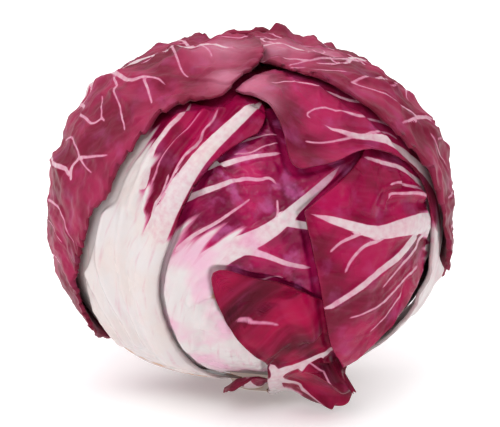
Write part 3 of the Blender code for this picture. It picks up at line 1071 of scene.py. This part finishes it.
def grid_faces(rows, columns, first=0):
    """Two triangles for each cell of a grid of points numbered row by row."""
    corner = (np.arange(rows)[:, None] * (columns + 1) + np.arange(columns)).ravel() + first
    a, b, c, d = corner, corner + 1, corner + columns + 2, corner + columns + 1
    return np.concatenate([np.stack([a, b, c], -1), np.stack([a, c, d], -1)])


def rim_path(rows, columns, first=0):
    """The numbers of a grid's outermost points, once round."""
    bottom = np.arange(columns)
    right = np.arange(rows) * (columns + 1) + columns
    top = rows * (columns + 1) + np.arange(columns, 0, -1)
    left = np.arange(rows, 0, -1) * (columns + 1)
    return np.concatenate([bottom, right, top, left]) + first


def sewn_rim(outer, inner):
    """Triangles between the fine rim and the coarse one.

    Each edge of the fine rim is joined to the nearer end of the coarse edge beside it, and each
    coarse edge to the point where its fan changes ends.
    """
    fine = outer.reshape(len(inner), INNER_STEP)
    after = np.roll(outer, -1).reshape(len(inner), INNER_STEP)
    half = INNER_STEP // 2
    owner = np.where(np.arange(INNER_STEP) < half, 0, 1)
    nearest = np.stack([inner, np.roll(inner, -1)], -1)[:, owner]
    fans = np.stack([after, fine, nearest], -1).reshape(-1, 3)
    bridges = np.stack([inner, np.roll(inner, -1), fine[:, half]], -1)
    return np.concatenate([fans, bridges])


print("a sheet of 6 by 6 cells has a rim of", len(rim_path(6, 6)), "points")

# %% [markdown]
# ## Meshes that carry numbers
#
# The colour of a leaf follows its ribs, its margins and its spots. Vertex colours could hold it, but
# a colour blurs between points where a distance stays true. So each point carries a few plain
# numbers, such as the distance to a rib, and the material makes the colour from them. A map of the
# leaf laid flat lets fine grain run along it.

# %% Meshes, numbers and the flat map
TISSUE_NUMBERS = ("rib_side", "rib_wide", "rib_inside", "white", "rim", "cut", "dry", "pale", "blush")
FLAT_MAP_MM = 100


def mesh_object(name, points, faces):
    """A smooth mesh object from arrays of points and triangles."""
    mesh = bpy.data.meshes.new(name)
    mesh.from_pydata(points, [], faces)
    mesh.shade_smooth()
    made = bpy.data.objects.new(name, mesh)
    bpy.context.scene.collection.objects.link(made)
    return made


def write_numbers(piece, columns):
    """One number on each point, under each name."""
    for name, values in columns.items():
        attribute = piece.data.attributes.new(name, "FLOAT", "POINT")
        attribute.data.foreach_set("value", values.astype(np.float32))


def write_map(piece, places_mm):
    """A UV map from each point's place in mm on the flat leaf, where 1 is FLAT_MAP_MM."""
    layer = piece.data.uv_layers.new(name="flat_leaf")
    corners = np.empty(len(piece.data.loops), np.int32)
    piece.data.loops.foreach_get("vertex_index", corners)
    layer.data.foreach_set("uv", (places_mm / FLAT_MAP_MM)[corners].astype(np.float32).ravel())


print(len(TISSUE_NUMBERS), "numbers ride on each point of a leaf")

# %% [markdown]
# ## One leaf's skin
#
# A leaf of the head is thin at its margin and thicker in the middle, and its margin curls out a
# little where nothing holds it down. Everything above comes together here: the map gives a point's
# direction, the drape its radius, and relief, teeth and curl are added to them.

# %% One leaf's skin
THICK_MIDDLE = 0.0008
THICK_RIM = 0.00035
THICKENING_MM = 6
TOOTH_RISE = 14
TIP_TEETH_SHARE = 0.4
ROLL_MM = 2.5
ROLL_WAVE_MM = 9
RIM_DARKENING_MM = 0.7
CUT_TAN_MM = 2.5
FIRST_SEED = 11
SEED_STEP = 7


def leaf_piece(number):
    """The finished mesh object of one leaf.

    Its outer point (u, w) is the head's centre plus a direction times a radius. The direction is the
    leaf's map with teeth added to v at the tip and to the half width at the margins. The radius is
    the drape's plus relief and roll. The inner point lies one thickness nearer the centre.
    """
    leaf = leaves[number]
    seed = FIRST_SEED + SEED_STEP * number
    rows, columns = (INNER_STEP * round(n / INNER_STEP) for n in leaf.facts["cells"])
    from_base = np.linspace(0, 1, rows + 1) ** leaf.facts["spacing"]
    u, w = np.meshgrid(from_base, np.linspace(-1, 1, columns + 1), indexing="ij")
    u, w = u.ravel(), w.ravel()
    depth, pitch = leaf.facts["teeth"]
    long = math.degrees(leaf.length)
    across_tip = w * np.degrees(leaf.half_width(u * leaf.end(w), w))
    tip_teeth = TIP_TEETH_SHARE * depth / long * tooth_line(across_tip, pitch, seed) * u**TOOTH_RISE
    v = u * leaf.end(w) + tip_teeth
    half = leaf.half_width(v, w)
    margin_teeth = depth * tooth_line(v * long, pitch, seed + np.sign(w)) * np.abs(w) ** TOOTH_RISE
    angle = w * (half + np.radians(margin_teeth) * ease(v, 0.05, 0.15))
    middle = unit(read_rows(leaf.middle, leaf.v, v))
    across = unit(read_rows(leaf.across, leaf.v, v))
    d = unit(np.cos(angle)[:, None] * middle + np.sin(angle)[:, None] * across)

    radius, bare, loose = lay(number, d)
    x, y = np.degrees(angle), v * long
    bare = bare * (1 - spots(leaf, "calm", x, y))
    raised, (side, wide, inside) = relief(leaf, x, y, v, bare, seed)
    to_rim = np.minimum((1 - np.abs(w)) * np.degrees(half), (1 - u) * long)
    curl = leaf.facts["roll"] / 1000
    roll = curl * np.exp(-((to_rim / ROLL_MM) ** 2)) * (1 + ripples(x, y, ROLL_WAVE_MM, seed + 3)) * loose
    outer = d * above_ground(radius + raised + roll, d)[:, None] + HEAD_CENTRE
    thick = THICK_RIM + (THICK_MIDDLE - THICK_RIM) * ease(to_rim, 0, THICKENING_MM)
    inner = d * above_ground(radius + roll - thick, d)[:, None] + HEAD_CENTRE

    keep = np.arange(len(u)).reshape(rows + 1, columns + 1)[::INNER_STEP, ::INNER_STEP].ravel()
    few_rows, few_columns = rows // INNER_STEP, columns // INNER_STEP
    faces = [
        grid_faces(rows, columns),
        grid_faces(few_rows, few_columns, len(u))[:, ::-1],
        sewn_rim(rim_path(rows, columns), rim_path(few_rows, few_columns, len(u))),
    ]
    made = mesh_object(leaf.name + "_skin", np.concatenate([outer, inner[keep]]), np.concatenate(faces))

    both = np.concatenate([np.arange(len(u)), keep])
    white = white_field(leaf, x, y, v, seed)
    # The rim number darkens the margin: drying, and painted shade of the curled edge.
    rim = np.exp(-to_rim / RIM_DARKENING_MM)
    cut = np.exp(-y / CUT_TAN_MM)
    dry, pale = spots(leaf, "dry", x, y), spots(leaf, "pale", x, y)
    blush = np.full_like(x, leaf.facts["blush"])
    values = (side, wide, inside, white, rim, cut, dry, pale, blush)
    write_numbers(made, {key: column[both] for key, column in zip(TISSUE_NUMBERS, values)})
    write_map(made, np.stack([x, y], -1)[both])
    return made


print("a leaf is", THICK_MIDDLE * 1000, "mm thick in the middle and", THICK_RIM * 1000, "mm at its rim")

# %% [markdown]
# ## Leaf tissue
#
# A radicchio blade is a translucent red skin over pale tissue, with a thin natural wax. Freshly
# uncovered leaves are glossy and crimson, and outer ones are dull, mauve and finely wrinkled. A
# painted image wrapped on each leaf could show this, but it would blur close up. One recipe of
# nodes, with two reds, a dullness and a wax for each finish, stays sharp and needs no file.
#
# A material is a net of nodes. One small function adds a node, sets it, links what comes in and
# hands back what goes out, so that a material reads from top to bottom like a calculation.

# %% Colours and nodes
# What every smooth step and every mix of two colours is set to.
SMOOTH = {"interpolation_type": "SMOOTHSTEP"}
MIX = {"data_type": "RGBA", "output": 2}


def colour(code):
    """An sRGB hex colour turned to the linear values that shaders use.

    Each part from 0 to 1 is divided by 12.92 near black, and otherwise 0.055 is added, the sum
    divided by 1.055 and raised to the power 2.4.
    """
    parts = [int(code[i : i + 2], 16) / 255 for i in (1, 3, 5)]
    return (*[p / 12.92 if p <= 0.04045 else ((p + 0.055) / 1.055) ** 2.4 for p in parts], 1)


def add(tree, kind, inputs=(), output=0, **settings):
    """Adds a node and returns one of its outputs.

    inputs are values or sockets to link, by name or number, or in a row from the first one on.
    """
    made = tree.nodes.new("ShaderNode" + kind)
    for name, value in settings.items():
        setattr(made, name, value)
    for slot, value in (inputs if isinstance(inputs, dict) else dict(enumerate(inputs))).items():
        if isinstance(value, bpy.types.NodeSocket):
            tree.links.new(value, made.inputs[slot])
        else:
            made.inputs[slot].default_value = value
    return made.outputs[output] if made.outputs else None


def new_material(name):
    """A material with no nodes yet, and its tree."""
    made = bpy.data.materials.new(name)
    made.use_nodes = True
    made.node_tree.nodes.clear()
    return made, made.node_tree


print("half grey is", round(colour("#808080")[0], 3), "in linear values")

# %% [markdown]
# ### How pale the tissue is
#
# On a real leaf the red skin stops along the ribs and over the white foot, with a feathered edge
# where fibres run across it. Noise alone would put white anywhere. So the edge comes from the
# numbers on the points, and noise of a real fibre's width only roughens it.

# %% Fields and paleness
CRACKLE_MM = 1.7
FIBRE_MM = 1.3
FIBRE_SHRINK = 0.14
MOTTLE_MM = 1.6
BLOTCH_MM = 16
PATCH_MM = 7
RIB_BLUR_MM = 0.25
JUMP_ROOM_MM = 0.15
RIB_WHITE_PER_MM = 0.28
RIB_WHITE_LEAST = 0.56
RIB_WHITE_MOST = 0.85
FIBRE_FEATHER = 0.9
MOTTLE_FEATHER = 0.35
GRAINS = {
    "fibres": (FIBRE_MM, 3),
    "mottle": (MOTTLE_MM, 3),
    "blotches": (BLOTCH_MM, 4),
    "patches": (PATCH_MM, 4),
}


def leaf_fields(tree):
    """What a leaf's look is mixed from, by name: the numbers on its points and noise on its flat map.

    The scale of each noise is the map's size over the size of its features. Fibres are drawn out
    along the leaf, by shrinking the map in that direction.
    """
    flat = add(tree, "UVMap", uv_map="flat_leaf")
    part = {key: add(tree, "Attribute", output="Fac", attribute_name=key) for key in TISSUE_NUMBERS}
    drawn_out = add(tree, "Mapping", {"Vector": flat, "Scale": (1, FIBRE_SHRINK, 1)})
    for key, (size, detail) in GRAINS.items():
        place = drawn_out if key == "fibres" else flat
        settings = {"Vector": place, "Scale": FLAT_MAP_MM / size, "Detail": detail}
        part[key] = add(tree, "TexNoise", settings, output="Fac")
    settings = {"Vector": flat, "Scale": FLAT_MAP_MM / CRACKLE_MM}
    part["crackle"] = add(tree, "TexVoronoi", settings, output="Distance", feature="DISTANCE_TO_EDGE")
    return part


def paleness(tree, part):
    """0 in the red blade and 1 in white tissue: the larger of the white base and the ribs.

    A point's depth in a rib is the half width less the distance, and at most a little over the
    depth that it carries, because the other two numbers jump where one rib takes over from another.
    Wide ribs are whiter than thin ones. Fibres roughen the base, and mottling the ribs.
    """
    away = add(tree, "Math", (part["rib_side"],), operation="ABSOLUTE")
    depth = add(tree, "Math", (part["rib_wide"], away), operation="SUBTRACT")
    most = add(tree, "Math", (part["rib_inside"], JUMP_ROOM_MM), operation="ADD")
    depth = add(tree, "Math", (depth, most), operation="MINIMUM")
    settings = (part["rib_wide"], RIB_WHITE_PER_MM, RIB_WHITE_LEAST)
    strength = add(tree, "Math", settings, operation="MULTIPLY_ADD")
    strength = add(tree, "Math", (strength, RIB_WHITE_MOST), operation="MINIMUM")
    rib = add(tree, "MapRange", (depth, -RIB_BLUR_MM, RIB_BLUR_MM), **SMOOTH)
    rib = add(tree, "Math", (rib, strength), operation="MULTIPLY")
    fibres = add(tree, "Math", (part["fibres"], 0.5), operation="SUBTRACT")
    feathered = add(tree, "Math", (fibres, FIBRE_FEATHER, part["white"]), operation="MULTIPLY_ADD")
    mottle = add(tree, "Math", (part["mottle"], 0.5), operation="SUBTRACT")
    speckled = add(tree, "Math", (mottle, MOTTLE_FEATHER, rib), operation="MULTIPLY_ADD")
    return add(tree, "Math", (feathered, speckled), operation="MAXIMUM")


print("noise features in mm:", {key: size for key, (size, detail) in GRAINS.items()})

# %% [markdown]
# ### From red to white
#
# The blade goes from deep to bright red in soft blotches, with lilac patches of wax bloom and painted gloss
# highlight on it, and pale spots near the top that are fading and painted highlight of the top light.
# Towards a rib the red thins to pink, and then to flesh that is a little cream and a little pink.
# Edges darken in a thin rim, partly brown where they dry and partly painted shade of the curled margin. One
# ramp from red to white would miss all this, so each of these is laid over the last with its own mask, as a
# painter lays glazes.

# %% The colour of the skin
# Lilac of wax bloom, laid on also as painted gloss highlight.
STREAK = "#A6345F"
LILAC_WAX_AND_HIGHLIGHT = "#B4528C"
# Pale pink of fading, laid on also as painted highlight where the top light falls.
FADED_AND_TOP_HIGHLIGHT = "#CE829C"
THINNED_RED = "#C4668C"
GREY_FLESH = "#D1C9C9"
CREAM_FLESH = "#D1C9C3"
BLUSH = "#D8A2BD"
# Dark rim colour: dried margin, and painted shade of the curled edge.
BROWNED_AND_SHADED_RIM = "#6B2030"
DRIED = "#C08A55"
CUT_TAN = "#A8835C"


def glaze(tree, under, over, mask, limits=None, amount=1):
    """One colour laid over another where the mask is high.

    Between limits the mask rises smoothly from 0 to 1, and then it is multiplied by amount.
    """
    if limits:
        mask = add(tree, "MapRange", (mask, *limits), **SMOOTH)
    if amount != 1:
        mask = add(tree, "Math", (mask, amount), operation="MULTIPLY")
    return add(tree, "Mix", {0: mask, 6: under, 7: over}, **MIX)


def skin_colour(tree, part, pale, bright, deep, dull, wax_and_painted_gloss):
    """Twelve colours, each laid over those before it: the red with its painted highlights, then the flesh,
    then a dark rim that is partly painted shade, and dry edges.
    """
    red = glaze(tree, colour(deep), colour(bright), part["blotches"], (0.36, 0.66))
    red = glaze(tree, red, colour(STREAK), part["fibres"], (0.45, 0.75), 0.15)
    # Lilac patches: wax bloom, and partly a painted gloss highlight.
    red = glaze(tree, red, colour(LILAC_WAX_AND_HIGHLIGHT), part["patches"], (0.50, 0.72), wax_and_painted_gloss)
    # Pale spots near the top: fading, and a painted highlight where the top light falls.
    red = glaze(tree, red, colour(FADED_AND_TOP_HIGHLIGHT), part["pale"], amount=0.6)
    red = glaze(tree, red, colour(THINNED_RED), pale, (0.22, 0.66))
    flesh = glaze(tree, colour(GREY_FLESH), colour(CREAM_FLESH), part["blotches"], (0.40, 0.62))
    flesh = glaze(tree, flesh, colour(BLUSH), part["blotches"], (0.42, 0.60), part["blush"])
    skin = glaze(tree, red, flesh, pale, (0.52, 0.98))
    # A thin dark rim: dried margin, and partly painted shade of the curled edge.
    skin = glaze(tree, skin, colour(BROWNED_AND_SHADED_RIM), part["rim"], amount=0.15 + 0.3 * dull)
    dried = add(tree, "Math", (part["mottle"], 0.5, part["dry"]), operation="MULTIPLY_ADD")
    skin = glaze(tree, skin, colour(DRIED), dried, (0.45, 1.1), 0.8)
    return glaze(tree, skin, colour(CUT_TAN), part["cut"], (0.2, 0.9))


print("thinned red is", [round(part, 3) for part in colour(THINNED_RED)[:3]], "in linear values")

# %% [markdown]
# ### Five finishes
#
# The wax makes the skin glossy, and light goes a little way into the flesh, red further than blue.
# Wax wears off in the open air. So the finishes go from a leaf just bared to a weathered one: wax raises
# gloss and the lilac patches, which are wax bloom and partly painted gloss highlight, and dullness raises
# roughness and a faint dry sheen. The shaded finish stands apart from these: it is a darker copy of the
# leaf material, painted shade, for the low leaf in front. The finest wrinkles are about a tenth of a
# millimetre deep, too small for the mesh, and so they are bump.

# %% Leaf materials
WRINKLE_DEPTH = 0.00013


def leaf_material(name, bright, deep, dull, wax_and_painted_gloss):
    """Leaf tissue of two reds, where dull is 1 for a weathered leaf, and the wax amount is how waxy it
    still is, which also sets how strongly the lilac patches of painted gloss highlight show.
    """
    made, tree = new_material(name)
    part = leaf_fields(tree)
    skin = skin_colour(tree, part, paleness(tree, part), bright, deep, dull, wax_and_painted_gloss)
    dimples = add(tree, "MapRange", (part["crackle"], 0.0, 0.25), **SMOOTH)
    dimples = add(tree, "Math", (dimples, 0.2), operation="MULTIPLY")
    height = add(tree, "Math", (part["mottle"], 0.5, dimples), operation="MULTIPLY_ADD")
    height = add(tree, "Math", (part["fibres"], 0.3, height), operation="MULTIPLY_ADD")
    wrinkled = add(tree, "Bump", {"Height": height, "Strength": 0.7, "Distance": WRINKLE_DEPTH})
    roughness = add(tree, "Math", (part["blotches"], 0.2, 0.16 + 0.24 * dull), operation="MULTIPLY_ADD")
    settings = {
        "Base Color": skin,
        "Roughness": roughness,
        "IOR": 1.40,
        "Specular IOR Level": 0.10 + 0.26 * wax_and_painted_gloss,
        "Subsurface Weight": 0.1,
        "Subsurface Radius": (1.0, 0.35, 0.3),
        "Subsurface Scale": 0.001,
        "Sheen Weight": 0.06 * dull,
        "Sheen Roughness": 0.4,
        "Normal": wrinkled,
    }
    add(tree, "OutputMaterial", {"Surface": add(tree, "BsdfPrincipled", settings)})
    return made


FINISHES = {
    "glossy": leaf_material("radicchio leaf just bared, glossy", "#AC0E52", "#6C0632", 0.0, 0.7),
    "bared": leaf_material("radicchio leaf just bared, waxy", "#A00A46", "#6A0528", 0.0, 0.25),
    # The shaded finish is a darker copy of the leaf material: painted shade for the low leaf in front.
    "shaded": leaf_material("radicchio leaf in painted shade, waxy", "#A2023E", "#4C0118", 0.15, 0.15),
    "half bared": leaf_material("radicchio leaf half bared, waxy", "#A2164C", "#6E082C", 0.5, 0.3),
    "weathered": leaf_material("radicchio outer leaf, weathered", "#98224A", "#6E102C", 1.0, 0.2),
}
print(len(FINISHES), "leaf finishes")

# %% [markdown]
# ## Putting the leaves on
#
# On a real head the outer leaves are the oldest and have been in the open air for longest. Each leaf could
# be placed and coloured by hand, but with every rule in place each is one call in a loop. It rides on the
# head's only body, takes the place of its own solid, and gets the finish that suits how long it has been
# uncovered. The low leaf in front gets a darker finish instead, which is painted shade.

# %% The twelve leaves
triangles = 0
for number, leaf in enumerate(leaves):
    skin = leaf_piece(number)
    skin.data.materials.append(FINISHES[leaf.facts["finish"]])
    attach(skin, "root")
    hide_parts(leaf.name)
    triangles += len(skin.data.polygons)
    print(skin.name, len(skin.data.polygons), "triangles")
print("all leaves:", triangles, "triangles")

# %% [markdown]
# ## Heart
#
# Under the wrapped leaves is the tight heart, which shows only as a dark glimpse in the gaps. It has
# leaves of its own, and they could be draped as well, but none could be told from the next in there.
# So the heart is one closed form from the radius that the leaves already lie on.

# %% Heart
HEART_ROWS = 60
HEART_COLUMNS = 90


def ring_faces(rings, sides):
    """Triangles over rings of points that are numbered ring by ring, then the bottom and the top.

    Walls join each ring to the next, and fans close the first ring to the bottom and the last to the
    top.
    """
    ring = np.arange(sides)
    after = (ring + 1) % sides
    base = (np.arange(rings - 1) * sides)[:, None]
    a, b = (base + ring).ravel(), (base + after).ravel()
    walls = np.concatenate([np.stack([a, b, b + sides], -1), np.stack([a, b + sides, a + sides], -1)])
    last = (rings - 1) * sides
    bottom = np.stack([after, ring, 0 * ring + rings * sides], -1)
    top = np.stack([last + ring, last + after, 0 * ring + rings * sides + 1], -1)
    return np.concatenate([walls, bottom, top])


def closed_form(name, radius_of, rows, columns):
    """A closed mesh round the head's centre: each point is a direction times the radius there."""
    turn, rise = np.meshgrid(
        np.linspace(0, 2 * math.pi, columns, endpoint=False),
        np.linspace(-math.pi / 2, math.pi / 2, rows + 1)[1:-1],
    )
    turn, rise = turn.ravel(), rise.ravel()
    d = np.stack([np.sin(turn) * np.cos(rise), -np.cos(turn) * np.cos(rise), np.sin(rise)], -1)
    d = np.concatenate([d, [[0, 0, -1], [0, 0, 1]]])
    made = mesh_object(name, d * radius_of(d)[:, None] + HEAD_CENTRE, ring_faces(rows - 1, columns))
    # The poles have no turn of their own, and a rise just short of a right angle, in radians.
    flat_turn = np.degrees(np.append(turn, [0, 0]))
    flat_rise = np.degrees(np.append(rise, [-1.5, 1.5]))
    write_map(made, np.stack([flat_turn, flat_rise], -1))
    return made


heart = closed_form("heart_skin", head_radius, HEART_ROWS, HEART_COLUMNS)
# Numbers this low mean far from every rib, rim, cut and spot, which leaves the plain red.
write_numbers(heart, dict.fromkeys(TISSUE_NUMBERS, np.full(len(heart.data.vertices), -FAR_MM)))
heart.data.materials.append(FINISHES["bared"])
print("heart", len(heart.data.polygons), "triangles")

# %% [markdown]
# ## Stem
#
# The stem is cut off level, and that face is what the head stands on. A cylinder with a bevelled
# edge would do. Turning a short profile round the axis gives the same and also lets the round be a
# little uneven, as a grown thing is.

# %% Stem
STEM_RADIUS = 0.0125
STEM_TOP = 0.0160
STEM_EDGE = 0.0006
STEM_SIDES = 72
STEM_PROFILE = np.array(
    [
        (0.000, 0.0),
        (0.003, 0.0),
        (0.006, 0.0),
        (0.009, 0.0),
        (STEM_RADIUS - STEM_EDGE, 0.0),
        (STEM_RADIUS - 0.3 * STEM_EDGE, 0.3 * STEM_EDGE),
        (STEM_RADIUS, STEM_EDGE),
        (STEM_RADIUS, 0.005),
        (STEM_RADIUS, 0.010),
        (STEM_RADIUS, STEM_TOP),
        (0.0, STEM_TOP),
    ]
)


def turned_form(name, profile, sides):
    """A closed mesh by turning a profile of (radius, height) pairs round the Z axis, from axis to axis.

    Each radius is multiplied by 1 plus two small sine waves of the turn.
    """
    turn = np.linspace(0, 2 * math.pi, sides, endpoint=False)
    rings = profile[1:-1]
    uneven = 1 + 0.025 * np.sin(5 * turn + 1) + 0.015 * np.sin(11 * turn)
    radius = rings[:, :1] * uneven
    points = np.stack([radius * np.cos(turn), radius * np.sin(turn), rings[:, 1:] + 0 * radius], -1)
    points = np.concatenate([points.reshape(-1, 3), [[0, 0, profile[0, 1]], [0, 0, profile[-1, 1]]]])
    return mesh_object(name, points, ring_faces(len(rings), sides))


stem = turned_form("stem_skin", STEM_PROFILE, STEM_SIDES)
print("stem", round(2000 * STEM_RADIUS, 1), "mm across")

# %% [markdown]
# ### Cut stem tissue
#
# The cut dries within hours: it turns tan, browner in a ring just inside the rim where the leaf
# bases were attached, and fibres fan out from its middle. A ramp of colours over the distance from
# the axis gives the rings, and noise keeps them from being perfect circles.

# %% Stem material
STEM_MOTTLE_MM = 2.222
STEM_FIBRE_MM = 1.309
STEM_RINGS = (
    (0.0, "#D9C8AC"),
    (0.45, "#CBAE88"),
    (0.64, "#94653F"),
    (0.74, "#BD9468"),
    (0.84, "#E4D6CB"),
)


def stem_material():
    """Cut stem tissue, coloured by the distance from the axis over the radius, plus noise.

    Fibres are noise round the turn, as many as fit the rim at their spacing.
    """
    made, tree = new_material("radicchio stem, cut and dried")
    place = add(tree, "TexCoord", output="Object")
    around = add(tree, "TexGradient", {"Vector": place}, output="Fac", gradient_type="RADIAL")
    level = add(tree, "VectorMath", (place, (1, 1, 0)), operation="MULTIPLY")
    from_axis = add(tree, "VectorMath", (level,), output="Value", operation="LENGTH")
    from_axis = add(tree, "Math", (from_axis, STEM_RADIUS), operation="DIVIDE")
    settings = {"Vector": place, "Scale": 1000 / STEM_MOTTLE_MM, "Detail": 4.0}
    mottle = add(tree, "TexNoise", settings, output="Fac")
    fibres = 2000 * math.pi * STEM_RADIUS / STEM_FIBRE_MM
    fibre = add(tree, "TexNoise", {"W": around, "Scale": fibres}, output="Fac", noise_dimensions="1D")
    uneven = add(tree, "Math", (from_axis, 0.17), operation="SUBTRACT")
    uneven = add(tree, "Math", (mottle, 0.35, uneven), operation="MULTIPLY_ADD")
    rings = add(tree, "ValToRGB", {"Fac": uneven})
    stops = rings.node.color_ramp.elements
    stops.remove(stops[-1])
    stops[0].color = colour(STEM_RINGS[0][1])
    for where, code in STEM_RINGS[1:]:
        stops.new(where).color = colour(code)
    height = add(tree, "Math", (mottle, fibre), operation="ADD")
    rough = add(tree, "Bump", {"Height": height, "Strength": 0.5, "Distance": 0.0003})
    settings = {
        "Base Color": rings,
        "Roughness": 0.7,
        "IOR": 1.45,
        "Subsurface Weight": 0.1,
        "Subsurface Scale": 0.001,
        "Normal": rough,
    }
    add(tree, "OutputMaterial", {"Surface": add(tree, "BsdfPrincipled", settings)})
    return made


stem.data.materials.append(stem_material())
for piece in (heart, stem):
    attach(piece, "root")
    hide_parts("heart_and_stem")
print(len(STEM_RINGS), "colours from the pith to the rim")

# %% [markdown]
# ## Floor
#
# The head stands on a sheet of white opal acrylic, lit faintly from below. Paper under a stronger
# light could look as white, but by then the head would be too bright. A faint glow in the sheet
# itself lets it run out to pure white, with only a soft blush of shadow.

# %% Floor
FLOOR_SIZE = 8.0

floor_mesh = bpy.data.meshes.new("floor")
half_floor = FLOOR_SIZE / 2
corners = [(x * half_floor, y * half_floor, 0) for x, y in ((-1, -1), (1, -1), (1, 1), (-1, 1))]
floor_mesh.from_pydata(corners, [], [(0, 1, 2, 3)])
floor = bpy.data.objects.new("floor", floor_mesh)
bpy.context.scene.collection.objects.link(floor)

acrylic, acrylic_tree = new_material("opal acrylic sheet, lit faintly from below")
settings = {
    "Base Color": colour("#FCFCFC"),
    "Roughness": 0.9,
    "IOR": 1.45,
    "Emission Color": colour("#FFFFFF"),
    "Emission Strength": 0.22,
}
add(acrylic_tree, "OutputMaterial", {"Surface": add(acrylic_tree, "BsdfPrincipled", settings)})
floor.data.materials.append(acrylic)
print("floor", FLOOR_SIZE, "m across")

# %% [markdown]
# ## Light
#
# A product shot of something glossy is taken in a light tent, so that soft white is mirrored from
# all round. An image of a studio as the background would do it, but is a file to read. Here the world
# is white and brighter overhead, and two square lamps stand in it: the main one in front and above,
# and a weaker one on the left.

# %% Light
TENT_ABOVE = 1.60
TENT_LOW = 0.16


def soft_light(name, place, size, power):
    """A square area light at place, in metres, turned to face the head's centre."""
    data = bpy.data.lights.new(name, "AREA")
    data.size = size
    data.energy = power
    made = bpy.data.objects.new(name, data)
    made.location = place
    away = unit(np.array(place) - HEAD_CENTRE)
    level = math.hypot(away[0], away[1])
    made.rotation_euler = (math.atan2(level, away[2]), 0, math.atan2(away[0], -away[1]))
    bpy.context.scene.collection.objects.link(made)


soft_light("front light", (-0.2, -0.8, 0.75), 0.4, 2.2)
soft_light("left light", (-1.0, -0.3, 0.6), 0.5, 1.6)

world = bpy.data.worlds.new("white tent")
bpy.context.scene.world = world
world.use_nodes = True
tent = world.node_tree
tent.nodes.clear()
ray = add(tent, "TexCoord", output="Generated")
overhead = add(tent, "SeparateXYZ", {"Vector": ray}, output="Z")
overhead = add(tent, "MapRange", (overhead, 0.0, 1.0), **SMOOTH)
glow = add(tent, "Math", (overhead, TENT_ABOVE - TENT_LOW, TENT_LOW), operation="MULTIPLY_ADD")
sky = add(tent, "Background", {"Color": colour("#FFFFFF"), "Strength": glow})
add(tent, "OutputWorld", {"Surface": sky})
bpy.context.scene.view_settings.view_transform = "Standard"
print("tent brightness from", TENT_LOW, "at the horizon to", TENT_ABOVE, "overhead")
